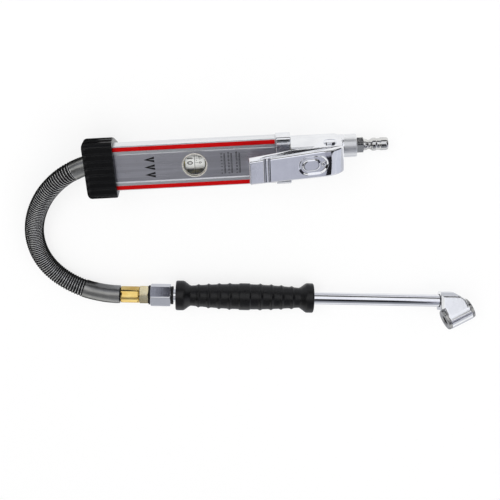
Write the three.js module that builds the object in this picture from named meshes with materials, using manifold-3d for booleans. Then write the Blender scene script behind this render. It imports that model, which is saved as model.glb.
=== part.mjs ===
// Tyre inflator with a window gauge, a spring-guarded hose and a wand with a twin chuck.
// Millimetres, +Z up. The inflator lies face up; its body and the wand both run along X.
import * as THREE from 'three';
import { mergeVertices } from 'three/addons/utils/BufferGeometryUtils.js';
import Module from 'manifold-3d';

const wasm = await Module();
wasm.setup();

// ---------- Driving dimensions ----------
const gap = 0.3;                      // between pieces that touch
const rad = Math.PI / 180;
const round = { wide: 24, medium: 16, small: 12, tiny: 8 };   // sides of a turned shape

// Where the parts of the inflator lie. The origin is under the middle of the rigid pieces.
const standPoint = { x: 41.4, y: 25.3 };
const bodyLine = 114.1;               // y of the body's centre line
const wand = { x: -79.5, y: -40.6, z: 15.5, turn: -4.79 * rad };

// Body section: a flat face, straight sides, then slopes in to a round back.
const body = {
  start: -126, end: 28, halfWidth: 22.4, face: 41, shoulder: 29.5, corner: 2,
  backRadius: 13.5, backCentre: 18.5, wall: 2.5, innerTop: 38,
};
const slopeOffset = 0.279;            // how far the shoulder drops per mm of outward offset
const panel = { half: 13.3, bevel: 14.2, floor: 40.2 };
const trim = { inner: 17.2, outer: 21.2, thick: 0.6, depth: 0.7, play: 0.1 };
const lens = {
  x: -47.4, sleeve: 11.3, hole: 11.6, flange: 12.1, inner: 10.7, lip: 10, disc: 10.45,
  foot: 36, seat: 36.8, rim: 41.4, discLow: 37.7, discTop: 40.1,
};

// Gauge cartridge, on one line with the hose fitting.
const gaugeLine = 24.5;
const airTube = { z: 12.3, outer: 2.5, inner: 1.6, start: -120.5, end: 37, play: 0.25 };
const tubeSeal = { mean: 3.05, thick: 0.45, seat: 3.7, depth: 1.6, fromMouth: 0.8 };
const airWay = 1.6;                   // radius of the drilled passages
const drumTurnPerMm = 15 * rad;
const drum = { start: -56.4, end: -38.4, outer: 9.5, inner: 8.2, web: 0.8, slot: [5.6, 2.0], sides: 24 };
const strip = { width: 5, thick: 1, start: -70, end: -44.5, step: 1.02 };
const cylinder = {
  start: -120, neckEnd: -112, neck: 3.8, inlet: 1.5, floor: -109, end: -62, outer: 9.2, bore: 7, chamfer: 0.6,
};
const piston = { start: -108.5, end: -102.5, radius: 6.75, grooveFrom: -106.4, grooveTo: -104.6, groove: 5.3 };
const pistonSeal = { x: -105.5, mean: 6.15, thick: 0.7 };
const spindle = { start: -102.3, collar: 3.2, stemFrom: -100.4, stem: 1.8, end: -69.4 };
const gaugeSpring = { start: -101.6, end: -62.6, mean: 5.6, wire: 0.6, turns: 6 };
const drumFrame = {
  start: -61.7, leftSeat: -56.8, leftEnd: -54, rightStart: -40.8, rightSeat: -38, end: -34,
  hole: 3.4, seat: 7.9, outer: 9.2, railInner: 9.9, railOuter: 11.2, railLow: 25.6, railTop: 31,
};

// Screws that hold the head and the end cap to the four ports of the body.
const screwPorts = [[16.9, 35, 3.3], [-16.9, 35, 3.3], [13.6, 22.5, 2.5], [-13.6, 22.5, 2.5]];
const screw = {
  shank: 1.15, head: 2.5, headHeight: 2, port: 1.45, clear: 1.6, counterbore: 2.9, sunk: 2.4, play: 0.1,
  capLength: 14, flangeLength: 24,
};

// End cap of the body and the hose fitting that is screwed into it.
const cap = {
  face: -129.8, stemEnd: -116, inset: 0.4, half: 10.4, low: 15.6, top: 37.4,
  stem: [[4.4, 16], [4.4, 8.9], [2.4, 8.1]], fittingEnd: -121.2, crossX: -121.4, neckHole: 4.1,
};
const tailFitting = {
  hexStart: -136, hexEnd: -130.1, hexRadius: 8, threadEnd: -122.5, thread: 4.9, bore: 2.2,
};

// Rubber boot on the hose end.
const boot = {
  start: -150.2, end: -121.6, half: 28.2, top: 47, corner: 5.5, foot: 9, footCorner: 5, wall: 3.5,
  side: [[28.2, 31.5], [26.8, 26.5]], ribPitch: 5.7, groove: 0.8,
  rim: [[0, 3.4], [0.8, 1.7], [2, 0.7], [4, 0]],   // how far in the outline is, from the hose end
};
const bootHole = { radius: 11, y: -0.9, z: 24.4 };

// Head casting, valve and lever.
const head = {
  start: 28.7, flangeEnd: 42.7, flangeGrow: 1.4, blockHalf: 10.6, blockTop: 36, blockCorner: 2, blockLow: 2,
  blockEnd: 93, bossEnd: 107,
};
const gasket = { from: 28.1, to: 28.6, inset: 0.3, rim: 1.6 };
const boss = { radius: 11, z: 11 };
const pivot = { x: 79.7, z: 33.2, shank: 3, hole: 3.25, knuckle: 7.2, ear: 12, headRadius: 6 };
const plug = { start: 97, end: 137.5, thread: 6.1, hexEnd: 113.7, hexRadius: 8, nose: 6.3, bore: 3.4 };
const inlet = { seatFrom: 95, seat: 6.4, bore: 4.4 };
const feedX = 36;                     // where the way up from the air tube turns along to the valve
const valve = { x: 55, bore: 4, bottom: 2.6, portTop: 26, outlet: 18, stem: 2.6, top: 55 };
const plunger = { start: 12.9, land: 3.7, groove: 2.6, waist: 2.2, sealLow: 15, sealHigh: 21.6 };
const plungerSeal = { mean: 3.25, thick: 0.55 };
const valveSpring = { start: 3.5, end: 12.3, mean: 2.9, wire: 0.45, turns: 5 };
const capNut = { thread: 6, threadFrom: 26.8, collar: 8.6, collarFrom: 36.3, hex: 7.8, hexFrom: 38, top: 40.4 };
const pivotNut = { radius: 5.4, bore: 2.9, thick: 3, end: -16.2 };
const lever = {
  half: 13, inner: 11, left: 2.8, leftTop: 64.8, bend: 76.5, bendTop: 54.45, wall: 2, soft: 0.9,
  tail: [[81.2, 53.1], [86, 50], [89.6, 46.3], [91.8, 42.6]],
  under: [[66, 39], [61.5, 44.8], [54, 48.2], [43, 51], [28.7, 53.4]],
};
// Press marks on the lever's plate, measured along it from the left end.
const mark = {
  ridges: [14.8, 18.8], ridge: 1.15, dish: [60.2, 15, 8.8], dishDepth: 1.1, pill: [58.6, 7.8, 4.2],
  dimple: 70.2, dimpleRadius: 2.9,
};

// Hose, guard and the fittings between hose and wand; places along the wand from the grip.
const hose = { radius: 7.1, sides: 8, steps: 30 };
const guard = { wire: 0.8, mean: 8.7, closePitch: 2.75, openPitch: 4.5, closeLength: 36, blend: 14 };
const curlSteps = 8;
const curlSides = 5;
const ferruleBore = 7.4;
const bodyFerrule = { start: -136.2, end: -141.2, radius: 8.7 };
const wandFerrule = { start: -56.6, end: -37.7, radius: 8.7, lobe: 0.45 };
const hoseNut = { start: -37.4, end: -28.2, radius: 10.4, threadEnd: -21, thread: 6.4 };
const couplingHex = { start: -26.2, end: -5.1, radius: 12.3, bore: 6.75, roll: 22 };
const couplingSeal = { left: [-28, -26.5, 10], right: [-4.9, -2.5, 9.4], inner: 6.8 };
const tube = { start: -19, end: 283.5, outer: 6.45, inner: 4.2 };
const grip = {
  length: 143.4, bore: 6.75, flange: 15.5, waist: 10.5, belly: 2.75, bellyFrom: 15, bellyLength: 113,
  ringsBefore: [23.4, 33.9, 44.9, 55.9], band: [66, 76.9], ringsAfter: [87.9, 99.4, 109.9, 120.8],
  ringHeight: 1, bandHeight: 0.7, sides: 14,
};

// Chuck: its own frame starts at the hub's mouth, rolled about the wand, with the barrel slanted.
const chuck = { at: 277.6, roll: -33 * rad, thick: 11, hub: 10 };
const barrel = { x: 18.7, y: -13.7, slant: 27.3 * rad, radius: 11.2, back: -12.4, front: 12.2, bore: 6.3 };
const barrelWall = 1.8;               // half of the wall between the two chuck bores
const chuckNut = { thick: 3.2, mouth: 4.7, radius: 10.9, flats: 11.9, turn: 12, dish: 1.9 };
const chuckSeal = { from: -3, to: -0.2, hole: 3.7 };
const chuckSpring = { end: -5.55, mean: 4.6, wire: 0.5, turns: 3 };
const chuckFeed = { radius: 1.5, length: 16, turn: -32, from: 5.5 };

// The hose's centre line, from the body's fitting to the wand's nut.
const hoseRoute = [
  [-136.3, 114.1, 24.5], [-141, 114.1, 24.5], [-147, 113.6, 24.5], [-155, 111.6, 24.3],
  [-163.3, 108.1, 23.5], [-171.6, 103.6, 22.3], [-179.6, 98, 20.8], [-187.2, 91.3, 19.1],
  [-194.3, 83.8, 17.3], [-200.6, 75.4, 15.6], [-206, 66.3, 14], [-210.4, 56.7, 12.6],
  [-213.5, 46.9, 11.5], [-215.2, 37, 10.7], [-215.3, 27, 10.2], [-213.9, 17.4, 10],
  [-211.1, 8.4, 10], [-207.1, 0.2, 10], [-202.2, -7, 10], [-196.6, -13.2, 10.1],
  [-190.6, -18.4, 10.4], [-184.2, -22.9, 10.8], [-177.6, -26.5, 11.4], [-171, -29.3, 12.1],
  [-164.4, -31.4, 12.9], [-157.8, -33, 13.7], [-151, -34.3, 14.5], [-143.5, -35.2, 15.2],
  [-136, -35.87, 15.5], [-126, -36.7, 15.5], [-116.9, -37.46, 15.5],
].map((point) => new THREE.Vector3(...point));

// ---------- Finishes ----------
const finish = (color, roughness, metalness) => ({ color, roughness, metalness });
const finishes = {
  aluminium: finish(0xa9adb3, 0.4, 0.9),
  chrome: finish(0xd9dbe0, 0.12, 1),
  brass: finish(0xd0a23c, 0.3, 1),
  steel: finish(0x8f9092, 0.35, 0.9),
  rubber: finish(0x17181a, 0.75, 0),
  red: finish(0xc4141b, 0.45, 0),
  white: finish(0xf2f2ee, 0.5, 0),
  clear: finish(0xe8f1f2, 0.05, 0),
};

// ---------- Shape helpers ----------
// A closed geometry as a solid: shared corners merged, collapsed faces dropped, faces turned outward.
function solid(geometry) {
  const bare = geometry.index ? geometry.toNonIndexed() : geometry.clone();
  bare.deleteAttribute('normal');
  bare.deleteAttribute('uv');
  const merged = mergeVertices(bare, 1e-4);
  const corners = merged.index.array;
  const faces = [];
  for (let i = 0; i < corners.length; i += 3) {
    const [a, b, c] = corners.slice(i, i + 3);
    if (a !== b && b !== c && c !== a) faces.push([a, b, c]);
  }
  const vertProperties = new Float32Array(merged.attributes.position.array);
  const build = (order) => {
    const triVerts = new Uint32Array(faces.flatMap(order));
    return new wasm.Manifold(new wasm.Mesh({ numProp: 3, vertProperties, triVerts }));
  };
  const made = build((face) => face);
  return made.volume() > 0 ? made : build(([a, b, c]) => [a, c, b]);
}

function toGeometry(shape) {
  const mesh = shape.getMesh();
  const geometry = new THREE.BufferGeometry();
  geometry.setAttribute('position', new THREE.BufferAttribute(new Float32Array(mesh.vertProperties), 3));
  geometry.setIndex(new THREE.BufferAttribute(new Uint32Array(mesh.triVerts), 1));
  geometry.computeVertexNormals();
  return geometry;
}

// Outlines are lists of [u, v]: (y, z) across X, (x, z) across Y and (x, y) across Z.
const bases = {
  x: [[0, 1, 0], [0, 0, 1], [1, 0, 0]],
  y: [[1, 0, 0], [0, 0, 1], [0, -1, 0]],
  z: [[1, 0, 0], [0, 1, 0], [0, 0, 1]],
};

function prism(outline, axis, from, to, bevel = 0) {
  const shape = new THREE.Shape(outline.map(([u, v]) => new THREE.Vector2(u, v)));
  const geometry = new THREE.ExtrudeGeometry(shape, {
    depth: to - from - 2 * bevel, bevelEnabled: bevel > 0, bevelSize: bevel, bevelThickness: bevel,
    bevelOffset: -bevel, bevelSegments: 1,
  });
  geometry.translate(0, 0, bevel);
  const basis = bases[axis].map((column) => new THREE.Vector3(...column));
  geometry.applyMatrix4(new THREE.Matrix4().makeBasis(...basis));
  const shift = axis === 'y' ? to : from;
  geometry.translate(axis === 'x' ? shift : 0, axis === 'y' ? shift : 0, axis === 'z' ? shift : 0);
  return solid(geometry);
}

function box(x0, x1, y0, y1, z0, z1) {
  return prism([[x0, y0], [x1, y0], [x1, y1], [x0, y1]], 'z', z0, z1);
}

// A turned shape: profile points are [place along the axis, radius], at is a point on the axis.
function turned(profile, axis, at = [0, 0, 0], sides = round.medium) {
  const open = profile[0][1] < 1e-6 && profile[profile.length - 1][1] < 1e-6;
  const loop = open ? profile : [...profile, profile[0]];
  const geometry = new THREE.LatheGeometry(loop.map(([s, r]) => new THREE.Vector2(r, s)), sides);
  if (axis === 'x') geometry.rotateZ(-Math.PI / 2);
  if (axis === 'z') geometry.rotateX(Math.PI / 2);
  geometry.translate(...at);
  return solid(geometry);
}

function rod(axis, from, to, radius, at, sides = round.medium) {
  return turned([[from, 0], [from, radius], [to, radius], [to, 0]], axis, at, sides);
}

function ring(axis, from, to, outer, inner, at, sides = round.medium) {
  return turned([[from, inner], [from, outer], [to, outer], [to, inner]], axis, at, sides);
}

function seal(axis, place, mean, thick, at) {
  const section = 5;
  const profile = [];
  for (let i = 0; i < section; i++) {
    const angle = (2 * Math.PI * i) / section;
    profile.push([place + thick * Math.sin(angle), mean + thick * Math.cos(angle)]);
  }
  return turned(profile, axis, at, round.small);
}

function arc(cx, cy, radius, from, to, steps) {
  const points = [];
  for (let i = 0; i <= steps; i++) {
    const angle = (from + ((to - from) * i) / steps) * rad;
    points.push([cx + radius * Math.cos(angle), cy + radius * Math.sin(angle)]);
  }
  return points;
}

function polygon(sides, radius, turn = 0, cx = 0, cy = 0) {
  return arc(cx, cy, radius, turn, turn + 360 - 360 / sides, sides - 1);
}

const mirrored = (half) => [...half, ...half.map(([u, v]) => [-u, v]).reverse()];

// A hexagon bar along X with its corners turned down at both ends.
function hexagon(from, to, radius, turn, at) {
  const flat = radius * Math.cos(30 * rad);
  const chamfer = (radius - flat) * 0.6;
  const bar = prism(polygon(6, radius, turn, at[1], at[2]), 'x', from, to);
  const profile = [
    [from, 0], [from, flat], [from + chamfer, radius], [to - chamfer, radius], [to, flat], [to, 0],
  ];
  return bar.intersect(turned(profile, 'x', at, 12));
}

// A round tube along a list of centres, closed at both ends. The section never twists suddenly.
function pipe(centres, radius, sides) {
  const count = centres.length;
  const tangentAt = (i) => {
    const before = centres[Math.max(i - 1, 0)];
    const after = centres[Math.min(i + 1, count - 1)];
    return after.clone().sub(before).normalize();
  };
  const firstTangent = tangentAt(0);
  const side = Math.abs(firstTangent.z) < 0.9 ? new THREE.Vector3(0, 0, 1) : new THREE.Vector3(1, 0, 0);
  let normal = side.sub(firstTangent.clone().multiplyScalar(side.dot(firstTangent))).normalize();
  const positions = [];
  for (let i = 0; i < count; i++) {
    const tangent = tangentAt(i);
    normal = normal.clone().sub(tangent.clone().multiplyScalar(normal.dot(tangent))).normalize();
    const other = tangent.clone().cross(normal);
    for (let k = 0; k < sides; k++) {
      const angle = (2 * Math.PI * k) / sides;
      const point = centres[i].clone().addScaledVector(normal, radius * Math.cos(angle));
      positions.push(point.addScaledVector(other, radius * Math.sin(angle)));
    }
  }
  const index = [];
  for (let i = 0; i + 1 < count; i++) {
    for (let k = 0; k < sides; k++) {
      const a = i * sides + k;
      const b = i * sides + ((k + 1) % sides);
      index.push(a, b, b + sides, a, b + sides, a + sides);
    }
  }
  const last = (count - 1) * sides;
  for (let k = 1; k + 1 < sides; k++) {
    index.push(0, k + 1, k, last, last + k, last + k + 1);
  }
  const geometry = new THREE.BufferGeometry().setFromPoints(positions);
  geometry.setIndex(index);
  return { geometry, points: positions };
}

// Least distance between the skins of neighbouring turns, measured on the tube's own points.
function leastGap(points, sides, turnSteps) {
  let least = Infinity;
  const rings = points.length / sides;
  for (let i = 0; i < rings; i++) {
    for (let j = i + turnSteps - 3; j < Math.min(i + turnSteps + 4, rings); j++) {
      for (let k = 0; k < sides * sides; k++) {
        const a = points[i * sides + (k % sides)];
        const b = points[j * sides + Math.floor(k / sides)];
        least = Math.min(least, a.distanceTo(b));
      }
    }
  }
  return least;
}

// A straight compression spring along X from its first to its last coil centre.
function coilSpring(name, from, to, mean, wire, turns, place) {
  const centres = [];
  for (let i = 0; i <= turns * curlSteps; i++) {
    const angle = (2 * Math.PI * i) / curlSteps;
    const along = from + ((to - from) * i) / (turns * curlSteps);
    centres.push(new THREE.Vector3(along, mean * Math.cos(angle), mean * Math.sin(angle)));
  }
  const made = pipe(centres, wire, curlSides);
  console.log(`${name}: least gap to itself ${leastGap(made.points, curlSides, curlSteps).toFixed(2)} mm`);
  place(made.geometry);
  return made.geometry;
}

const straightSpring = (name, { start, end, mean, wire, turns }, place) => (
  coilSpring(name, start, end, mean, wire, turns, place));

// ---------- Body ----------
// The body's outline, grown outward; top is its height when the face isn't grown too.
function bodyOutline(grow, top = body.face + grow) {
  const half = body.halfWidth + grow;
  const radius = body.backRadius + grow;
  const shoulder = body.shoulder - slopeOffset * grow;
  const dy = half;
  const dz = shoulder - body.backCentre;
  const reach = Math.hypot(dy, dz);
  const touch = (Math.atan2(dz, dy) - Math.acos(radius / reach)) / rad;
  const corner = Math.max(body.corner + grow, 0.8);
  const right = [
    ...arc(half - corner, top - corner, corner, 90, 0, 2),
    [half, shoulder],
    ...arc(0, body.backCentre, radius, touch, -90, 5),
  ];
  return mirrored(right).filter((point, i, all) => {
    const next = all[(i + 1) % all.length];
    return Math.hypot(point[0] - next[0], point[1] - next[1]) > 1e-3;
  });
}

function bodyExtrusion() {
  const { start, end } = body;
  let shape = prism(bodyOutline(0), 'x', start, end);
  let hollow = prism(bodyOutline(-body.wall, body.innerTop), 'x', start - 1, end + 1);
  for (const [y, z, radius] of screwPorts) {
    hollow = hollow.subtract(rod('x', start - 2, end + 2, radius, [0, y, z], round.tiny));
  }
  shape = shape.subtract(hollow);
  for (const [y, z] of screwPorts) {
    shape = shape.subtract(rod('x', start - 1, end + 1, screw.port, [0, y, z], round.tiny));
  }
  const recess = mirrored([[panel.bevel + 0.25, body.face + 0.25], [panel.half, panel.floor]]);
  shape = shape.subtract(prism(recess, 'x', start - 1, end + 1));
  const low = body.face - trim.depth;
  for (const side of [-1, 1]) {
    const [y0, y1] = [side * (trim.inner - trim.play), side * (trim.outer + trim.play)].sort((a, b) => a - b);
    shape = shape.subtract(box(start - 1, end + 1, y0, y1, low, body.face + 1));
  }
  return shape.subtract(rod('z', body.innerTop - 1, body.face + 1, lens.hole, [lens.x, 0, 0], round.wide));
}

function redTrim(side) {
  const [y0, y1] = [side * trim.inner, side * trim.outer].sort((a, b) => a - b);
  return box(boot.end + gap, body.end, y0, y1, body.face - trim.thick, body.face);
}

function lensBezel() {
  const under = panel.floor + 0.1;
  const profile = [
    [lens.foot, lens.lip], [lens.foot, lens.sleeve], [under, lens.sleeve], [under, lens.flange],
    [lens.rim - 0.4, lens.flange], [lens.rim, lens.flange - 0.5], [lens.rim, lens.inner],
    [lens.seat, lens.inner], [lens.seat, lens.lip],
  ];
  return turned(profile, 'z', [lens.x, 0, 0], round.wide);
}

function windowLens() {
  const { disc, discLow, discTop } = lens;
  const profile = [
    [discLow, 0], [discLow, disc], [discTop - 0.6, disc], [discTop - 0.1, disc - 0.5], [discTop, 0],
  ];
  return turned(profile, 'z', [lens.x, 0, 0], round.wide);
}

function lensSeal() {
  const { seat, discLow, disc, lip, x } = lens;
  return ring('z', seat + 0.1, discLow - 0.2, disc - 0.05, lip, [x, 0, 0], round.wide);
}

// A rounded box outline for the boot, drawn in by inset; its back is narrower than its front.
function bootOutline(inset) {
  const half = boot.half - inset;
  const corner = boot.corner - Math.min(inset, 2);
  const top = boot.top - inset;
  const footCorner = boot.footCorner - Math.min(inset, 2);
  return mirrored([
    ...arc(half - corner, top - corner, corner, 90, 0, 3),
    ...boot.side.map(([y, z]) => [y - inset, z]),
    ...arc(boot.foot, inset + footCorner, footCorner, -28, -90, 3),
  ]);
}

// One closed skin through outlines of equal count, placed along X.
function loft(sections) {
  const count = sections[0].outline.length;
  const positions = [];
  for (const { x, outline } of sections) {
    for (const [y, z] of outline) positions.push(new THREE.Vector3(x, y, z));
  }
  const index = [];
  for (let s = 0; s + 1 < sections.length; s++) {
    for (let k = 0; k < count; k++) {
      const a = s * count + k;
      const b = s * count + ((k + 1) % count);
      index.push(a, a + count, b + count, a, b + count, b);
    }
  }
  const caps = [{ outline: sections[0].outline, first: 0, turn: 1 },
    { outline: sections[sections.length - 1].outline, first: (sections.length - 1) * count, turn: -1 }];
  for (const { outline, first, turn } of caps) {
    const flat = outline.map(([y, z]) => new THREE.Vector2(y, z));
    const wanted = Math.sign(THREE.ShapeUtils.area(flat)) * turn;
    for (const face of THREE.ShapeUtils.triangulateShape(flat, [])) {
      const [p, q, r] = face.map((i) => flat[i]);
      const found = Math.sign((q.x - p.x) * (r.y - p.y) - (q.y - p.y) * (r.x - p.x));
      const order = found === wanted ? face : [face[0], face[2], face[1]];
      index.push(...order.map((i) => first + i));
    }
  }
  const geometry = new THREE.BufferGeometry().setFromPoints(positions);
  geometry.setIndex(index);
  return geometry;
}

function rubberBoot() {
  const sections = boot.rim.map(([x, inset]) => ({ x: boot.start + x, outline: bootOutline(inset) }));
  sections.push({ x: boot.end - 0.8, outline: bootOutline(0) }, { x: boot.end, outline: bootOutline(0.7) });
  let shape = solid(loft(sections));
  const hollow = prism(bodyOutline(gap), 'x', boot.start + boot.wall, boot.end + 1);
  shape = shape.subtract(hollow);
  shape = shape.subtract(rod('x', boot.start - 1, boot.end, bootHole.radius, [0, bootHole.y, bootHole.z]));
  const groove = (y, z) => rod('x', boot.start - 1, boot.end + 1, boot.groove, [0, y, z], 4);
  for (let i = -4; i <= 4; i++) {
    shape = shape.subtract(groove(i * boot.ribPitch, boot.top));
  }
  for (let i = 0; i < 3; i++) {
    const z = boot.top - boot.corner - 2 - i * boot.ribPitch;
    shape = shape.subtract(groove(boot.half, z)).subtract(groove(-boot.half, z));
  }
  return shape;
}

// ---------- End cap and hose fitting ----------
const onTube = [0, 0, airTube.z];
const onGauge = [0, 0, gaugeLine];

function endCap() {
  const { face, stemEnd, half, low, top, fittingEnd, crossX } = cap;
  const inward = body.start - 0.2;
  const past = stemEnd + 1;
  const plate = prism(bodyOutline(-cap.inset), 'x', face, body.start - 0.1);
  const block = box(inward, stemEnd, -half, half, low, top);
  let shape = plate.add(block).add(prism(mirrored(cap.stem), 'x', inward, stemEnd));
  shape = shape.subtract(rod('x', face - 1, fittingEnd, tailFitting.thread + gap, onGauge));
  shape = shape.subtract(rod('x', fittingEnd - 1, past, cap.neckHole, onGauge));
  shape = shape.subtract(rod('x', fittingEnd - 1, past, airTube.outer + airTube.play, onTube, round.small));
  shape = shape.subtract(rod('x', stemEnd - tubeSeal.depth, past, tubeSeal.seat, onTube, round.small));
  shape = shape.subtract(rod('z', airTube.z - 0.9, gaugeLine, airWay, [crossX, 0, 0], round.tiny));
  for (const [y, z] of screwPorts) {
    shape = shape.subtract(rod('x', face - 1, body.start + 1, screw.clear, [0, y, z], round.tiny));
  }
  return shape;
}

function hoseTailFitting() {
  const { hexStart, hexEnd, hexRadius, threadEnd, thread, bore } = tailFitting;
  const shape = hexagon(hexStart, hexEnd, hexRadius, 0, onGauge)
    .add(rod('x', hexEnd - 0.5, threadEnd, thread, onGauge));
  return shape.subtract(rod('x', hexStart - 1, threadEnd + 1, bore, onGauge, round.tiny));
}

function portScrew([y, z], headFace, direction, length) {
  const at = [0, y, z];
  const span = (a, b) => [headFace + direction * a, headFace + direction * b].sort((p, q) => p - q);
  const [h0, h1] = span(0, screw.headHeight);
  const [s0, s1] = span(-length, 0.3);
  return rod('x', h0, h1, screw.head, at, round.tiny).add(rod('x', s0, s1, screw.shank, at, 6));
}

// ---------- Gauge cartridge ----------
function gaugeCylinder() {
  const { start, neckEnd, neck, inlet: hole, floor, end, outer, bore, chamfer } = cylinder;
  const profile = [
    [start, hole], [start, neck], [neckEnd, neck], [neckEnd, outer - chamfer], [neckEnd + chamfer, outer],
    [end - chamfer, outer], [end, outer - chamfer], [end, bore], [floor, bore], [floor, hole],
  ];
  return turned(profile, 'x', onGauge, round.small);
}

function gaugePiston() {
  const { start, end, radius, grooveFrom, grooveTo, groove } = piston;
  const profile = [
    [start, 0], [start, radius - 0.15], [grooveFrom - 0.1, radius], [grooveFrom + 0.1, groove],
    [grooveTo - 0.1, groove], [grooveTo + 0.1, radius], [end, radius - 0.15], [end, 0],
  ];
  return turned(profile, 'x', onGauge, round.small);
}

// A rod that turns into a twisted flat strip, which makes the drum turn as it slides through.
function twistSpindle() {
  const webPlace = (drum.start + drum.end) / 2;
  const sections = [];
  for (let x = strip.start; x <= strip.end + 1e-6; x += strip.step) {
    const angle = -drumTurnPerMm * (x - webPlace);
    const across = [Math.cos(angle), Math.sin(angle)];
    const through = [-Math.sin(angle), Math.cos(angle)];
    const corner = (a, b) => [
      across[0] * a * strip.width / 2 + through[0] * b * strip.thick / 2,
      gaugeLine + across[1] * a * strip.width / 2 + through[1] * b * strip.thick / 2,
    ];
    sections.push({ x, outline: [corner(1, 1), corner(-1, 1), corner(-1, -1), corner(1, -1)] });
  }
  const twisted = solid(loft(sections));
  const { start, collar, stemFrom, stem, end } = spindle;
  const profile = [
    [start, 0], [start, collar], [stemFrom - 0.6, collar], [stemFrom, stem], [end - 1.4, stem],
    [end, 1.2], [end, 0],
  ];
  return twisted.add(turned(profile, 'x', onGauge, round.tiny));
}

// Two bearings for the drum, joined by a rail at each side.
function gaugeFrame() {
  const { start, leftSeat, leftEnd, rightStart, rightSeat, end, hole, seat, outer } = drumFrame;
  const { railInner, railOuter, railLow, railTop } = drumFrame;
  const left = turned([
    [start, hole], [start, outer], [leftSeat, outer], [leftSeat, seat], [leftEnd, seat], [leftEnd, hole],
  ], 'x', onGauge);
  const right = turned([
    [rightStart, hole], [rightStart, seat], [rightSeat, seat], [rightSeat, outer], [end, outer], [end, hole],
  ], 'x', onGauge);
  let shape = left.add(right);
  const sideBox = (side, x0, x1, inner, out, low, top) => {
    const [y0, y1] = [side * inner, side * out].sort((p, q) => p - q);
    return box(x0, x1, y0, y1, low, top);
  };
  for (const side of [-1, 1]) {
    shape = shape.add(sideBox(side, start, end, railInner, railOuter, railLow, railTop));
    shape = shape.add(sideBox(side, start, leftSeat - 0.2, seat - 0.9, railOuter - 0.2, 26, 30));
    shape = shape.add(sideBox(side, rightSeat + 0.2, end, seat - 0.9, railOuter - 0.2, 26, 30));
  }
  return shape;
}

function scaleDrum() {
  const { start, end, outer, inner, web, slot, sides } = drum;
  const middle = (start + end) / 2;
  const shell = ring('x', start, end, outer, inner, onGauge, sides);
  const disc = rod('x', middle - web / 2, middle + web / 2, inner + 0.3, onGauge, sides);
  const [wide, high] = slot.map((size) => size / 2);
  const cut = box(middle - 2, middle + 2, -wide, wide, gaugeLine - high, gaugeLine + high);
  return shell.add(disc).subtract(cut);
}

// ---------- Head ----------
const onValve = [valve.x, 0, 0];

function headBlank() {
  const { start, flangeEnd, blockHalf, blockTop, blockCorner, blockLow, blockEnd, bossEnd } = head;
  const flange = prism(bodyOutline(head.flangeGrow), 'x', start, flangeEnd, 0.6);
  const inward = flangeEnd - 4;
  const side = [
    [inward, blockLow + 1], [inward, blockTop], [pivot.x - pivot.knuckle, blockTop],
    ...arc(pivot.x, pivot.z, pivot.knuckle, 150, 10, 6),
    [pivot.x + pivot.knuckle + 2.2, 28], [blockEnd, 20], [blockEnd, 9], [blockEnd - 6, blockLow + 1],
  ];
  const top = pivot.z + pivot.knuckle - blockCorner;
  const across = [
    ...arc(blockHalf - blockCorner, top, blockCorner, 90, 0, 2),
    ...arc(blockHalf - blockCorner, blockLow + blockCorner, blockCorner, 0, -90, 2),
  ];
  const rounded = prism(mirrored(across), 'x', inward - 1, blockEnd + 1);
  const block = prism(side, 'y', -blockHalf, blockHalf).intersect(rounded);
  const bossProfile = [
    [inward, 0], [inward, boss.radius], [bossEnd - 1, boss.radius], [bossEnd, boss.radius - 1], [bossEnd, 0],
  ];
  return flange.add(block).add(turned(bossProfile, 'x', [0, 0, boss.z], round.wide));
}

function headCasting() {
  const { start, flangeEnd, blockTop, bossEnd } = head;
  const onBoss = [0, 0, boss.z];
  const holes = [
    rod('z', valve.bottom, blockTop + 1, valve.bore, onValve, round.small),
    rod('z', valve.portTop, blockTop + 3, capNut.thread + gap, onValve),
    rod('x', valve.x, bossEnd + 1, inlet.bore, onBoss, round.small),
    rod('x', inlet.seatFrom, bossEnd + 1, inlet.seat, onBoss, round.small),
    rod('x', start - 1, airTube.end + 1, airTube.outer + airTube.play, onTube, round.small),
    rod('x', start - 1, start + tubeSeal.depth, tubeSeal.seat, onTube, round.small),
    rod('z', airTube.z, valve.outlet, airWay, [feedX, 0, 0], round.tiny),
    rod('x', feedX - 0.6, valve.x, airWay, [0, 0, valve.outlet], round.tiny),
    rod('y', -20, 20, pivot.hole, [pivot.x, 0, pivot.z]),
  ];
  for (const [y, z] of screwPorts) {
    holes.push(rod('x', start - 1, flangeEnd + 1, screw.clear, [0, y, z], round.tiny));
    holes.push(rod('x', flangeEnd - screw.sunk, flangeEnd + 1, screw.counterbore, [0, y, z], round.tiny));
  }
  return holes.reduce((shape, hole) => shape.subtract(hole), headBlank());
}

function headGasket() {
  const { from, to, inset, rim } = gasket;
  const hollow = prism(bodyOutline(-body.wall - rim, body.innerTop - 0.6), 'x', from - 1, to + 1);
  let shape = prism(bodyOutline(-inset), 'x', from, to).subtract(hollow);
  for (const [y, z] of screwPorts) {
    shape = shape.subtract(rod('x', from - 1, to + 1, screw.clear, [0, y, z], round.tiny));
  }
  return shape;
}

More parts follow.
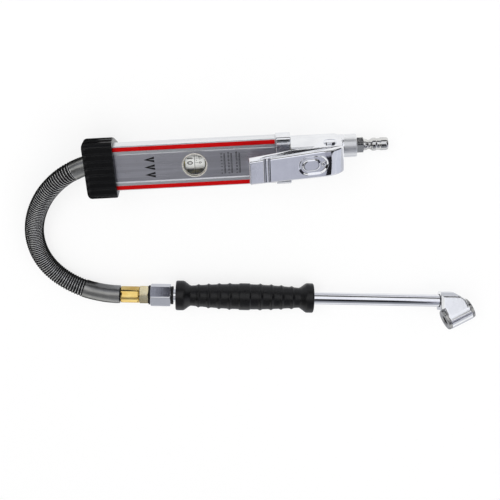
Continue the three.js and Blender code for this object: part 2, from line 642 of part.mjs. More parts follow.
// Quick-coupling plug: thread, hexagon, waist, locking shoulder and nose.
function inletPlug() {
  const at = [0, 0, boss.z];
  const { start, end, thread, hexEnd, hexRadius, nose, bore } = plug;
  const neck = thread - 0.5;
  const waist = nose - 1.7;
  const band = nose - 0.6;
  const profile = [
    [start, 0], [start, neck], [start + 0.6, thread], [head.bossEnd + 0.3, thread], [head.bossEnd + 0.3, neck],
    [hexEnd + 1.3, neck], [end - 20.1, neck - 0.4], [end - 19.1, waist], [end - 17.5, waist],
    [end - 15.1, nose], [end - 12.1, nose], [end - 10.9, band], [end - 8.5, band], [end - 7.1, nose],
    [end - 1.7, nose], [end, band], [end, 0],
  ];
  const hex = hexagon(head.bossEnd + 0.1, hexEnd, hexRadius, 30, at);
  const shape = turned(profile, 'x', at, round.small).add(hex);
  return shape.subtract(rod('x', start - 1, end + 1, bore, at, round.small));
}

// ---------- Valve ----------
function valveCapNut() {
  const { thread, threadFrom, collar, collarFrom, hex, hexFrom, top } = capNut;
  const stemPart = rod('z', threadFrom, collarFrom + 0.2, thread, onValve);
  const flange = rod('z', collarFrom, hexFrom, collar, onValve);
  const hexPart = prism(polygon(6, hex, 0, valve.x, 0), 'z', hexFrom - 0.2, top);
  const bore = rod('z', threadFrom - 1, top + 1, valve.stem + gap, onValve);
  return stemPart.add(flange).add(hexPart).subtract(bore);
}

function valvePlunger() {
  const { start, land, groove, waist, sealLow, sealHigh } = plunger;
  const sealGroove = (z) => [[z - 0.9, land], [z - 0.8, groove], [z + 0.8, groove], [z + 0.9, land]];
  const profile = [
    [start, 0], [start, land], ...sealGroove(sealLow), [sealLow + 1.6, land], [sealLow + 2, waist],
    [sealHigh - 2, waist], [sealHigh - 1.6, land], ...sealGroove(sealHigh), [sealHigh + 2.4, land],
    [sealHigh + 2.8, valve.stem], [valve.top - 1.4, valve.stem], [valve.top - 0.5, valve.stem - 0.6],
    [valve.top, 0],
  ];
  return turned(profile, 'z', onValve, round.tiny);
}

function pivotScrew() {
  const { shank, headRadius } = pivot;
  const seat = lever.half + 0.2;
  const top = seat + 2.5;
  const profile = [
    [pivotNut.end - 0.4, 0], [pivotNut.end - 0.4, 2.4], [-seat, 2.6], [0.1 - seat, shank], [seat, shank],
    [seat, headRadius], [seat + 1, headRadius], [top - 0.5, 4.8], [top - 0.1, 2.6], [top, 0],
  ];
  const slot = box(pivot.x - 8, pivot.x + 8, top - 0.8, top + 1, pivot.z - 0.6, pivot.z + 0.6);
  return turned(profile, 'y', [pivot.x, 0, pivot.z]).subtract(slot);
}

function pivotNutShape() {
  const { radius, bore, thick, end } = pivotNut;
  const hex = prism(polygon(6, radius, 0, pivot.x, pivot.z), 'y', end, end + thick);
  return hex.subtract(rod('y', end - 1, end + thick + 1, bore, [pivot.x, 0, pivot.z], round.small));
}

// ---------- Lever ----------
const plateSlope = (lever.leftTop - lever.bendTop) / (lever.bend - lever.left);

function leverBlank() {
  const { left, leftTop, bend, bendTop, tail, under, half, soft } = lever;
  const outline = [
    [left, leftTop - 0.8], [left + 1, leftTop - plateSlope], [bend, bendTop], ...tail,
    ...arc(pivot.x, pivot.z, pivot.ear, 40, -175, 11),
    ...under, [left + 0.6, leftTop - 7.4], [left, leftTop - 6.6],
  ];
  return prism(outline.reverse(), 'y', -half, half, soft);
}

// The hollow under the plate: its roof runs a wall's thickness below the plate and the tail.
function leverHollow() {
  const { left, leftTop, bend, bendTop, tail, wall, inner } = lever;
  const drawnIn = ([x, z]) => {
    const reach = Math.hypot(x - pivot.x, z - pivot.z);
    const share = (reach - wall) / reach;
    return [pivot.x + (x - pivot.x) * share, pivot.z + (z - pivot.z) * share];
  };
  const outside = [[head.blockEnd + 6, 40], [head.blockEnd + 6, 12], [left - 9, 12]];
  const underPlate = [[left - 6, leftTop + 6 * plateSlope - wall], [bend - 0.3, bendTop - wall]];
  return prism([...underPlate, ...tail.map(drawnIn), ...outside].reverse(), 'y', -inner, inner);
}

function leverShape() {
  let shape = leverBlank().subtract(leverHollow());
  shape = shape.subtract(rod('y', -20, 20, pivot.hole, [pivot.x, 0, pivot.z]));
  const tilt = Math.atan(plateSlope) / rad;
  const onPlate = (press) => press.rotate([0, tilt, 0]).translate([lever.left, 0, lever.leftTop]);
  for (const x of mark.ridges) {
    const ridge = prism(arc(x, -0.35, mark.ridge, 170, 10, 3), 'y', 1 - lever.half, lever.half - 1);
    shape = shape.add(onPlate(ridge));
  }
  const stadium = ([middle, halfLength, radius]) => [
    ...arc(middle + halfLength - radius, 0, radius, -90, 90, 5),
    ...arc(middle - halfLength + radius, 0, radius, 90, 270, 5),
  ];
  const dish = prism(stadium(mark.dish), 'z', -mark.dishDepth, 2);
  const floor = -mark.dishDepth - 0.3;
  const pill = prism(stadium(mark.pill), 'z', floor, -0.1);
  const r = mark.dimpleRadius;
  const dome = [[floor, 0], [floor, r], [-0.9, r - 0.3], [-0.2, r - 1.3], [-0.05, 0]];
  const dimple = turned(dome, 'z', [mark.dimple, 0, 0], round.small);
  return shape.subtract(onPlate(dish)).add(onPlate(pill)).add(onPlate(dimple));
}

// ---------- Hose ----------
const hoseCurve = new THREE.CatmullRomCurve3(hoseRoute, false, 'centripetal');
hoseCurve.arcLengthDivisions = 600;
const hoseLength = hoseCurve.getLength();

function airHose() {
  const section = new THREE.Shape(polygon(hose.sides, hose.radius).map(([u, v]) => new THREE.Vector2(u, v)));
  const along = { steps: hose.steps, extrudePath: hoseCurve, bevelEnabled: false };
  return solid(new THREE.ExtrudeGeometry(section, along));
}

// The guard is wound close at both ends and opens out between them.
function guardPitch(fromStart, fromEnd) {
  const nearest = Math.min(fromStart, fromEnd);
  const { closeLength, blend } = guard;
  const open = THREE.MathUtils.smoothstep(nearest, closeLength - blend, closeLength + blend);
  return guard.closePitch + (guard.openPitch - guard.closePitch) * open;
}

function hoseGuardSpring() {
  const start = bodyFerrule.start - bodyFerrule.end + gap + guard.wire + 0.2;
  const end = hoseLength - (wandFerrule.end - wandFerrule.start) - 2 * gap - guard.wire;
  const up = new THREE.Vector3(0, 0, 1);
  const centres = [];
  let along = start;
  while (along < end) {
    const at = along / hoseLength;
    const tangent = hoseCurve.getTangentAt(at);
    const side = up.clone().cross(tangent).normalize();
    const rise = tangent.clone().cross(side);
    const angle = (2 * Math.PI * centres.length) / curlSteps;
    const centre = hoseCurve.getPointAt(at).addScaledVector(side, guard.mean * Math.cos(angle));
    centres.push(centre.addScaledVector(rise, guard.mean * Math.sin(angle)));
    along += guardPitch(along - start, end - along) / curlSteps;
  }
  const made = pipe(centres, guard.wire, curlSides);
  const turns = (centres.length - 1) / curlSteps;
  const least = leastGap(made.points, curlSides, curlSteps);
  console.log(`hose_guard_spring: ${turns} turns, least gap to itself ${least.toFixed(2)} mm`);
  console.log(`air_hose: ${hoseLength.toFixed(1)} mm along its centre line`);
  return made.geometry;
}

function hoseFerruleBody() {
  const { start, end, radius } = bodyFerrule;
  const profile = [
    [end, ferruleBore], [end, radius - 0.4], [end + 0.5, radius], [start, radius], [start, ferruleBore],
  ];
  return turned(profile, 'x', onGauge);
}

// Crimped ferrule: round at both ends, pressed into lengthwise lobes between them.
function hoseFerruleWand() {
  const { start, end, radius, lobe } = wandFerrule;
  const points = 24;
  const outline = (depth) => {
    const list = [];
    for (let i = 0; i < points; i++) {
      const angle = (2 * Math.PI * i) / points;
      const r = radius - depth * (0.5 - 0.5 * Math.cos(8 * angle));
      list.push([r * Math.cos(angle), r * Math.sin(angle)]);
    }
    return list;
  };
  const sections = [[0, 0.1], [1.6, 0.1], [2.6, lobe], [14.6, lobe], [15.8, 0.1], [end - start, 0.1]];
  const skin = solid(loft(sections.map(([x, depth]) => ({ x: start + x, outline: outline(depth) }))));
  return skin.subtract(rod('x', start - 1, end + 1, ferruleBore, [0, 0, 0]));
}

// ---------- Wand ----------
const onWand = [0, 0, 0];

function hoseNutShape() {
  const shape = hexagon(hoseNut.start, hoseNut.end, hoseNut.radius, 10, onWand)
    .add(rod('x', hoseNut.end - 0.5, hoseNut.threadEnd, hoseNut.thread, onWand));
  return shape.subtract(rod('x', hoseNut.start - 1, hoseNut.threadEnd + 1, 3, onWand, round.tiny));
}

function couplingHexShape() {
  const { start, end, radius, bore, roll } = couplingHex;
  return hexagon(start, end, radius, 90 - roll, onWand).subtract(rod('x', start - 1, end + 1, bore, onWand));
}

const couplingSealShape = ([from, to, outer]) => ring('x', from, to, outer, couplingSeal.inner, onWand);

// Rubber grip: flared ends, a belly with a plain band, and narrow rings between.
function gripSleeve() {
  const { length, bore, flange, waist, bellyFrom, bellyLength, band, ringHeight, bandHeight } = grip;
  const belly = (s) => {
    const share = THREE.MathUtils.clamp((s - bellyFrom) / bellyLength, 0, 1);
    return waist + grip.belly * Math.sin(Math.PI * share);
  };
  const narrow = (s) => [[s - 1.5, belly(s)], [s, belly(s) + ringHeight], [s + 1.5, belly(s)]];
  const profile = [
    [0, bore], [0, flange - 1.3], [1.2, flange], [8.6, flange], [10, flange - 0.9], [14.8, waist + 0.2],
    ...grip.ringsBefore.flatMap(narrow),
    [band[0] - 1, belly(band[0])], [band[0], belly(band[0]) + bandHeight],
    [band[1], belly(band[1]) + bandHeight], [band[1] + 1, belly(band[1])],
    ...grip.ringsAfter.flatMap(narrow),
    [length - 14.4, waist - 0.1], [length - 9.4, flange - 1.5], [length - 7.8, flange],
    [length - 1.2, flange], [length, flange - 1.1], [length, bore],
  ];
  return turned(profile, 'x', onWand, grip.sides);
}

// ---------- Chuck ----------
// Twin chuck casting: a flat-sided web between the hub on the wand and the slanted barrel.
const slanted = (shape) => shape.rotate([0, 0, barrel.slant / rad]).translate([barrel.x, barrel.y, 0]);

function chuckHead() {
  const { thick, hub } = chuck;
  const alongBarrel = (s, across) => [
    barrel.x + s * Math.cos(barrel.slant) - across * Math.sin(barrel.slant),
    barrel.y + s * Math.sin(barrel.slant) + across * Math.cos(barrel.slant),
  ];
  const plan = [
    [-1, hub], [9.5, hub], [13.5, hub - 1.6], alongBarrel(barrel.front, barrel.radius - 0.2),
    alongBarrel(barrel.front, 0), alongBarrel(barrel.back, 0), alongBarrel(barrel.back, barrel.radius - 0.2),
    [-1, -hub + 0.5],
  ];
  const across = [
    [hub, -5], [hub, 5], [8, 8.6], [2.6, thick], [-30, thick], [-30, -thick], [2.6, -thick], [8, -8.6],
  ];
  const along = [[-1, -8.6], [-1, 8.6], [2.2, thick], [50, thick], [50, -thick], [2.2, -thick]];
  let shape = prism(plan.reverse(), 'z', -thick, thick)
    .intersect(prism(across, 'x', -2, 60))
    .intersect(prism(along.reverse(), 'y', -60, 20));
  shape = shape.add(slanted(turned([
    [barrel.back, 0], [barrel.back, barrel.radius - 0.5], [barrel.back + 0.5, barrel.radius],
    [barrel.front - 0.5, barrel.radius], [barrel.front, barrel.radius - 0.5], [barrel.front, 0],
  ], 'x', onWand, 24)));
  shape = shape.subtract(slanted(rod('x', barrelWall, barrel.front + 1, barrel.bore, onWand)));
  shape = shape.subtract(slanted(rod('x', barrel.back - 1, -barrelWall, barrel.bore, onWand)));
  shape = shape.subtract(rod('x', -2, 6.3, tube.outer + gap, onWand));
  const feed = rod('x', 0, chuckFeed.length, chuckFeed.radius, onWand, round.tiny);
  return shape.subtract(feed.rotate([0, 0, chuckFeed.turn]).translate([chuckFeed.from, 0, 0]));
}

// end is +1 for the front of the barrel and -1 for the back; d is measured inward from its face.
function atBarrelEnd(end, shape) {
  const face = end > 0 ? barrel.front : -barrel.back;
  const placed = shape.translate([face, 0, 0]);
  return slanted(end > 0 ? placed : placed.rotate([0, 0, 180]));
}

function chuckNutShape(end) {
  const { thick, mouth, radius, flats, turn, dish } = chuckNut;
  const outer = turned([
    [0.2, 0], [0.2, radius], [thick - 0.6, radius], [thick, radius - 0.7], [thick, 0],
  ], 'x', onWand, 18);
  const hex = prism(polygon(6, flats, turn), 'x', 0, thick + 1);
  const dished = turned([
    [thick - 1, mouth], [thick + 0.5, mouth + dish], [thick + 0.5, 0], [-1, 0], [-1, mouth],
  ], 'x', onWand);
  return atBarrelEnd(end, outer.intersect(hex).subtract(dished));
}

function chuckSealShape(end) {
  const { from, to, hole } = chuckSeal;
  return atBarrelEnd(end, ring('x', from, to, barrel.bore - 0.25, hole, onWand));
}

function chuckPin(end) {
  const profile = [
    [-4.8, 0], [-4.8, 5.9], [-3.4, 5.9], [-3.2, 2.4], [-2.6, 1.2], [-0.9, 1.1], [-0.6, 0.7], [-0.6, 0],
  ];
  return atBarrelEnd(end, turned(profile, 'x', onWand, round.small));
}

function chuckSpringShape(name, end) {
  const face = end > 0 ? barrel.front : -barrel.back;
  const inner = barrelWall - face + 0.75;
  const { mean, wire, turns } = chuckSpring;
  return coilSpring(name, inner, chuckSpring.end, mean, wire, turns, (geometry) => {
    geometry.translate(face, 0, 0);
    if (end < 0) geometry.rotateZ(Math.PI);
    geometry.rotateZ(barrel.slant);
    geometry.translate(barrel.x, barrel.y, 0);
  });
}

// ---------- Assembly ----------
function piece(group, name, look, shape) {
  const geometry = shape.isBufferGeometry ? shape : toGeometry(shape);
  const mesh = new THREE.Mesh(geometry, new THREE.MeshStandardMaterial(finishes[look]));
  mesh.name = name;
  group.add(mesh);
}

const gun = new THREE.Group();
gun.position.y = bodyLine;
piece(gun, 'body_extrusion', 'aluminium', bodyExtrusion());
piece(gun, 'red_trim_upper', 'red', redTrim(1));
piece(gun, 'red_trim_lower', 'red', redTrim(-1));
piece(gun, 'lens_bezel', 'chrome', lensBezel());
piece(gun, 'lens_seal', 'rubber', lensSeal());
piece(gun, 'window_lens', 'clear', windowLens());
piece(gun, 'rubber_boot', 'rubber', rubberBoot());
piece(gun, 'end_cap', 'aluminium', endCap());
piece(gun, 'hose_tail_fitting', 'brass', hoseTailFitting());
const flangeSeat = head.flangeEnd - screw.sunk + screw.play;
screwPorts.forEach((port, i) => {
  piece(gun, `end_cap_screw_${i + 1}`, 'steel', portScrew(port, cap.face - screw.play, -1, screw.capLength));
  piece(gun, `flange_screw_${i + 1}`, 'steel', portScrew(port, flangeSeat, 1, screw.flangeLength));
});
piece(gun, 'gauge_cylinder', 'brass', gaugeCylinder());
piece(gun, 'gauge_piston', 'brass', gaugePiston());
piece(gun, 'piston_seal', 'rubber', seal('x', pistonSeal.x, pistonSeal.mean, pistonSeal.thick, onGauge));
piece(gun, 'gauge_spring', 'steel', straightSpring('gauge_spring', gaugeSpring,
  (geometry) => geometry.translate(0, 0, gaugeLine)));
piece(gun, 'twist_spindle', 'steel', twistSpindle());
piece(gun, 'gauge_frame', 'brass', gaugeFrame());
piece(gun, 'scale_drum', 'white', scaleDrum());
piece(gun, 'air_tube', 'aluminium',
  ring('x', airTube.start, airTube.end, airTube.outer, airTube.inner, onTube, round.small));
const tubeSealAt = (x) => seal('x', x, tubeSeal.mean, tubeSeal.thick, onTube);
piece(gun, 'air_tube_seal_rear', 'rubber', tubeSealAt(cap.stemEnd - tubeSeal.fromMouth));
piece(gun, 'air_tube_seal_front', 'rubber', tubeSealAt(head.start + tubeSeal.fromMouth));
piece(gun, 'head_gasket', 'rubber', headGasket());
piece(gun, 'head_casting', 'chrome', headCasting());
piece(gun, 'inlet_plug', 'chrome', inletPlug());
piece(gun, 'valve_cap_nut', 'brass', valveCapNut());
piece(gun, 'valve_plunger', 'steel', valvePlunger());
const plungerSealAt = (z) => seal('z', z, plungerSeal.mean, plungerSeal.thick, onValve);
piece(gun, 'plunger_seal_upper', 'rubber', plungerSealAt(plunger.sealHigh));
piece(gun, 'plunger_seal_lower', 'rubber', plungerSealAt(plunger.sealLow));
piece(gun, 'valve_spring', 'steel', straightSpring('valve_spring', valveSpring, (geometry) => {
  geometry.rotateY(-Math.PI / 2);
  geometry.translate(valve.x, 0, 0);
}));
piece(gun, 'pivot_screw', 'chrome', pivotScrew());
piece(gun, 'pivot_nut', 'chrome', pivotNutShape());
piece(gun, 'lever', 'chrome', leverShape());
piece(gun, 'hose_ferrule_body', 'brass', hoseFerruleBody());

const wandGroup = new THREE.Group();
wandGroup.position.set(wand.x, wand.y, wand.z);
wandGroup.rotation.z = wand.turn;
piece(wandGroup, 'hose_ferrule_wand', 'brass', hoseFerruleWand());
piece(wandGroup, 'hose_nut', 'brass', hoseNutShape());
piece(wandGroup, 'coupling_seal_left', 'rubber', couplingSealShape(couplingSeal.left));
piece(wandGroup, 'coupling_hex', 'chrome', couplingHexShape());
piece(wandGroup, 'coupling_seal_right', 'rubber', couplingSealShape(couplingSeal.right));
piece(wandGroup, 'wand_tube', 'chrome', ring('x', tube.start, tube.end, tube.outer, tube.inner, onWand));
piece(wandGroup, 'grip_sleeve', 'rubber', gripSleeve());

const chuckGroup = new THREE.Group();
chuckGroup.position.x = chuck.at;
chuckGroup.rotation.x = chuck.roll;
wandGroup.add(chuckGroup);
piece(chuckGroup, 'chuck_head', 'chrome', chuckHead());
for (const [place, end] of [['front', 1], ['rear', -1]]) {
  piece(chuckGroup, `chuck_nut_${place}`, 'chrome', chuckNutShape(end));
  piece(chuckGroup, `chuck_seal_${place}`, 'rubber', chuckSealShape(end));
  piece(chuckGroup, `chuck_pin_${place}`, 'brass', chuckPin(end));
  piece(chuckGroup, `chuck_spring_${place}`, 'steel', chuckSpringShape(`chuck_spring_${place}`, end));
}

const inflator = new THREE.Group();
piece(inflator, 'air_hose', 'rubber', airHose());
piece(inflator, 'hose_guard_spring', 'steel', hoseGuardSpring());
inflator.add(gun, wandGroup);
inflator.position.set(-standPoint.x, -standPoint.y, 0);

export default inflator;
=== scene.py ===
# Tyre inflator: a flat aluminium body with a window gauge and a lever valve, a hose in a wound
# steel guard, and a gripped wand with a twin chuck. Metres, +Z up, lying face up on a table.
# Each piece is drawn in millimetres in the frame of what carries it, then set in place.
from math import acos, atan2, cos, degrees, dist, exp, hypot, pi, radians, sin

import bmesh
import bpy
from mathutils import Matrix, Vector


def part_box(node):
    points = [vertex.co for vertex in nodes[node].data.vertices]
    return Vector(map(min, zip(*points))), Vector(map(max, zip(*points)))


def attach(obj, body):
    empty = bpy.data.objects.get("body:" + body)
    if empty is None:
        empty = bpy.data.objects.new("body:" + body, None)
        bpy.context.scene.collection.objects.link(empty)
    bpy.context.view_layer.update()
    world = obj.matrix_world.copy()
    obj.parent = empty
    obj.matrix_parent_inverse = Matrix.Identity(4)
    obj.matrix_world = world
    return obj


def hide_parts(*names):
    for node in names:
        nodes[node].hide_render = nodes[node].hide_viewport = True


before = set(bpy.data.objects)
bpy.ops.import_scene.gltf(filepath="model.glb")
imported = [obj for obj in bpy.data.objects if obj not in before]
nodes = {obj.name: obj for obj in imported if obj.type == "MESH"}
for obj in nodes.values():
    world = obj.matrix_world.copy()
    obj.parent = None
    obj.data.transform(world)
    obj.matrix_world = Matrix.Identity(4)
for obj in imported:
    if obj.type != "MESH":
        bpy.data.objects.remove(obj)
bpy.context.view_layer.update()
mm = 0.001
print("frame loaded with", len(nodes), "nodes")

# Where the carriers stand: the gun's frame, the wand's, and the chuck's at the end of the wand.
places = {
    "bodyEnd": 28,             # the head end of the body section, in the gun's frame
    "wandStart": (-120.9, -65.9, 15.5),
    "wandTurn": -4.79,
    "chuckAt": 277.6,
    "chuckRoll": -33,
    "barrelMiddle": (18.7, -13.7),
    "barrelSlant": 27.3,
}
bodyLow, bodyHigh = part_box("body_extrusion")
gunPlace = Matrix.Translation((bodyHigh.x - places["bodyEnd"] * mm, (bodyLow.y + bodyHigh.y) / 2, 0))
wandPlace = Matrix.Translation(Vector(places["wandStart"]) * mm)
wandPlace = wandPlace @ Matrix.Rotation(radians(places["wandTurn"]), 4, "Z")
chuckPlace = wandPlace @ Matrix.Translation((places["chuckAt"] * mm, 0, 0))
chuckPlace = chuckPlace @ Matrix.Rotation(radians(places["chuckRoll"]), 4, "X")
barrelPlace = chuckPlace @ Matrix.Translation(Vector((*places["barrelMiddle"], 0)) * mm)
barrelPlace = barrelPlace @ Matrix.Rotation(radians(places["barrelSlant"]), 4, "Z")


def linked(name, data):
    item = bpy.data.objects.new(name, data)
    bpy.context.scene.collection.objects.link(item)
    return item


# The camera looks down steeply, from the far side of the body.
def makeCamera():
    view = {"target": (-0.0414, -0.0253, 0), "distance": 0.9, "tilt": 28, "roll": -2.97, "lens": 62.6}
    tilt, roll = radians(view["tilt"]), radians(view["roll"])
    back = Vector((0, sin(tilt), cos(tilt)))
    across, upward = Vector((1, 0, 0)), Vector((0, cos(tilt), -sin(tilt)))
    right = across * cos(roll) + upward * sin(roll)
    top = upward * cos(roll) - across * sin(roll)
    spot = Vector(view["target"]) + back * view["distance"]
    data = bpy.data.cameras.new("camera")
    data.lens = view["lens"]
    data.clip_start = 0.05
    camera = linked("camera", data)
    camera.matrix_world = Matrix((
        (right.x, top.x, back.x, spot.x), (right.y, top.y, back.y, spot.y),
        (right.z, top.z, back.z, spot.z), (0, 0, 0, 1)))
    bpy.context.scene.camera = camera


makeCamera()
bpy.context.scene.view_settings.view_transform = "Standard"
print("camera placed")


# Small tools for node materials.
def startMaterial(name):
    material = bpy.data.materials.new(name)
    material.use_nodes = True
    tree = material.node_tree
    return material, tree, tree.nodes["Principled BSDF"]


def feed(tree, node, inputs):
    # an input is joined to the socket that is given for it, or else set to the plain value
    for name, value in inputs.items():
        if isinstance(value, bpy.types.NodeSocket):
            tree.links.new(value, node.inputs[name])
        else:
            node.inputs[name].default_value = value
    return node


def addNode(tree, kind, inputs):
    return feed(tree, tree.nodes.new("ShaderNode" + kind), inputs)


def mathNode(tree, operation, first, second):
    node = addNode(tree, "Math", {0: first, 1: second})
    node.operation = operation
    return node.outputs[0]


def noiseAt(tree, scale, stretch=(1, 1, 1), detail=3):
    # noise on the piece's own coordinates, with scale in waves per metre
    where = addNode(tree, "TexCoord", {}).outputs["Object"]
    sized = addNode(tree, "Mapping", {"Vector": where, "Scale": stretch}).outputs["Vector"]
    return addNode(tree, "TexNoise", {"Vector": sized, "Scale": scale, "Detail": detail}).outputs["Fac"]


def spread(tree, value, low, high):
    # the middle of the noise's range drawn out to run from low to high
    limits = {"From Min": 0.3, "From Max": 0.7, "To Min": low, "To Max": high}
    return addNode(tree, "MapRange", {"Value": value, **limits}).outputs["Result"]


def blendColours(tree, value, first, second):
    ramp = addNode(tree, "ValToRGB", {"Fac": value})
    for stop, place, colour in zip(ramp.color_ramp.elements, (0.32, 0.68), (first, second)):
        stop.position = place
        stop.color = (*colour, 1)
    return ramp.outputs["Color"]


def bumpFrom(tree, value, strength, depth):
    bump = addNode(tree, "Bump", {"Height": value, "Strength": strength, "Distance": depth})
    return bump.outputs["Normal"]


def rayKinds(tree, kinds):
    # 1 for the kinds of ray that are named and 0 for the rest
    path = addNode(tree, "LightPath", {})
    value = path.outputs[kinds[0]]
    for kind in kinds[1:]:
        value = mathNode(tree, "MAXIMUM", value, path.outputs[kind])
    return value


def showMix(tree, share, first, second):
    # the surface goes over from the first shader to the second by share
    mixed = addNode(tree, "MixShader", {0: share, 1: first.outputs[0], 2: second.outputs[0]})
    feed(tree, tree.nodes["Material Output"], {"Surface": mixed.outputs[0]})


def finish(name, first, second, rough, patch, grain, relief=0.05, depth=0.0002, metal=1, gloss=0.5,
           patchStretch=(1, 1, 1), grainStretch=(1, 1, 1)):
    # one opaque finish: broad patches change the colour, fine grain the gloss and the relief
    material, tree, shader = startMaterial(name)
    patches = noiseAt(tree, patch, patchStretch)
    grains = noiseAt(tree, grain, grainStretch, 5)
    feed(tree, shader, {
        "Base Color": blendColours(tree, patches, first, second), "Roughness": spread(tree, grains, *rough),
        "Normal": bumpFrom(tree, grains, relief, depth), "Metallic": metal, "Specular IOR Level": gloss})
    return material


chrome = finish("chromePlate", (0.8, 0.81, 0.85), (0.87, 0.88, 0.91), rough=(0.05, 0.1), patch=60,
                grain=900, relief=0.04)
castChrome = finish("castChrome", (0.8, 0.81, 0.84), (0.88, 0.89, 0.91), rough=(0.1, 0.18), patch=45,
                    grain=500, relief=0.06, depth=0.0003)
bossChrome = finish("bossChrome", (0.84, 0.85, 0.87), (0.9, 0.91, 0.92), rough=(0.36, 0.46), patch=45,
                    grain=500, depth=0.0003)
satinChrome = finish("satinChrome", (0.84, 0.85, 0.87), (0.9, 0.91, 0.92), rough=(0.12, 0.19), patch=45,
                     grain=500, depth=0.0003)
nutSteel = finish("nutSteel", (0.26, 0.26, 0.26), (0.46, 0.46, 0.45), rough=(0.12, 0.22), patch=160,
                  grain=900)
plugSteel = finish("plugSteel", (0.6, 0.6, 0.59), (0.74, 0.74, 0.73), rough=(0.1, 0.18), patch=80,
                   grain=900)
satinAluminium = finish("satinAluminium", (0.74, 0.75, 0.77), (0.82, 0.83, 0.85), rough=(0.24, 0.36),
                        patch=50, grain=1500, relief=0.12, patchStretch=(0.15, 3, 3),
                        grainStretch=(0.03, 1, 1))
brushedPlate = finish("brushedPlate", (0.52, 0.52, 0.56), (0.66, 0.66, 0.71), rough=(0.26, 0.38),
                      patch=260, grain=1800, relief=0.2, patchStretch=(0.03, 1, 1),
                      grainStretch=(0.02, 1, 1))
insideAluminium = finish("insideAluminium", (0.5, 0.51, 0.53), (0.6, 0.61, 0.62), rough=(0.35, 0.5),
                         patch=90, grain=1200, relief=0.1)
ferruleBrass = finish("ferruleBrass", (0.78, 0.5, 0.13), (0.93, 0.72, 0.28), rough=(0.12, 0.2), patch=140,
                      grain=900, patchStretch=(0.4, 1, 1))
nutBrass = finish("nutBrass", (0.94, 0.8, 0.48), (0.98, 0.9, 0.64), rough=(0.1, 0.17), patch=120,
                  grain=900, relief=0.03)
gaugeBrass = finish("gaugeBrass", (0.42, 0.36, 0.12), (0.55, 0.47, 0.18), rough=(0.28, 0.4), patch=160,
                    grain=900, relief=0.08)
sleeveSteel = finish("sleeveSteel", (0.27, 0.27, 0.26), (0.38, 0.38, 0.37), rough=(0.26, 0.36), patch=60,
                     grain=1600, relief=0.1)
guardSteel = finish("guardSteel", (0.68, 0.68, 0.67), (0.8, 0.8, 0.79), rough=(0.2, 0.28), patch=120,
                    grain=1600, relief=0.02)
screwSteel = finish("screwSteel", (0.5, 0.51, 0.52), (0.62, 0.63, 0.64), rough=(0.2, 0.34), patch=200,
                    grain=1200, relief=0.08)
bezelRing = finish("bezelRing", (0.78, 0.74, 0.66), (0.86, 0.83, 0.77), rough=(0.2, 0.3), patch=90,
                   grain=900, metal=0.55)
bootRubber = finish("bootRubber", (0.0015, 0.0015, 0.002), (0.003, 0.003, 0.0035), rough=(0.14, 0.22),
                    patch=60, grain=1400, relief=0.25, depth=0.0004, metal=0, gloss=0.2)
gripRubber = finish("gripRubber", (0.0015, 0.0015, 0.002), (0.003, 0.003, 0.0035), rough=(0.24, 0.38),
                    patch=70, grain=1600, relief=0.3, depth=0.0004, metal=0, gloss=0.4)
hoseRubber = finish("hoseRubber", (0.006, 0.006, 0.006), (0.014, 0.014, 0.014), rough=(0.55, 0.7),
                    patch=90, grain=1400, relief=0.2, depth=0.0004, metal=0, gloss=0.16)
sealRubber = finish("sealRubber", (0.01, 0.01, 0.011), (0.02, 0.02, 0.021), rough=(0.35, 0.5), patch=160,
                    grain=1400, relief=0.15, depth=0.0003, metal=0, gloss=0.16)
stripRed = finish("stripRed", (0.42, 0.002, 0.003), (0.52, 0.004, 0.005), rough=(0.34, 0.46), patch=40,
                  grain=700, relief=0.06, metal=0, gloss=0.03)
drumWhite = finish("drumWhite", (0.92, 0.92, 0.9), (0.97, 0.97, 0.95), rough=(0.2, 0.32), patch=90,
                   grain=1200, metal=0)
printBlack = finish("printBlack", (0.006, 0.006, 0.007), (0.014, 0.014, 0.015), rough=(0.4, 0.6),
                    patch=200, grain=1800, relief=0.1, depth=0.0001, metal=0, gloss=0.2)
printGrey = finish("printGrey", (0.02, 0.02, 0.022), (0.035, 0.035, 0.04), rough=(0.4, 0.6), patch=200,
                   grain=1800, relief=0.1, depth=0.0001, metal=0)


def makeWindowGlass():
    material, tree, shader = startMaterial("windowGlass")
    roughness = spread(tree, noiseAt(tree, 700), 0.0, 0.03)
    feed(tree, shader, {"Base Color": (0.97, 0.98, 0.98, 1), "Transmission Weight": 1, "IOR": 1.45,
                        "Roughness": roughness})
    # light passes straight through, so the drum behind is lit as through a thin window
    straight = rayKinds(tree, ("Is Shadow Ray", "Is Diffuse Ray"))
    showMix(tree, straight, shader, addNode(tree, "BsdfTransparent", {}))
    return material


windowGlass = makeWindowGlass()
print("finishes mixed")


# Small tools for shapes, all in millimetres until a piece is settled.
def skin(rings, closed=False):
    # a closed surface through rings of equal count, capped at both ends or joined in a loop
    mesh = bmesh.new()
    rows = [[mesh.verts.new(point) for point in ring] for ring in rings]
    pairs = list(zip(rows, rows[1:]))
    if closed:
        pairs.append((rows[-1], rows[0]))
    for low, high in pairs:
        for i, corner in enumerate(low):
            j = (i + 1) % len(low)
            mesh.faces.new((corner, low[j], high[j], high[i]))
    if not closed:
        mesh.faces.new(list(reversed(rows[0])))
        mesh.faces.new(rows[-1])
    bmesh.ops.recalc_face_normals(mesh, faces=mesh.faces)
    return mesh


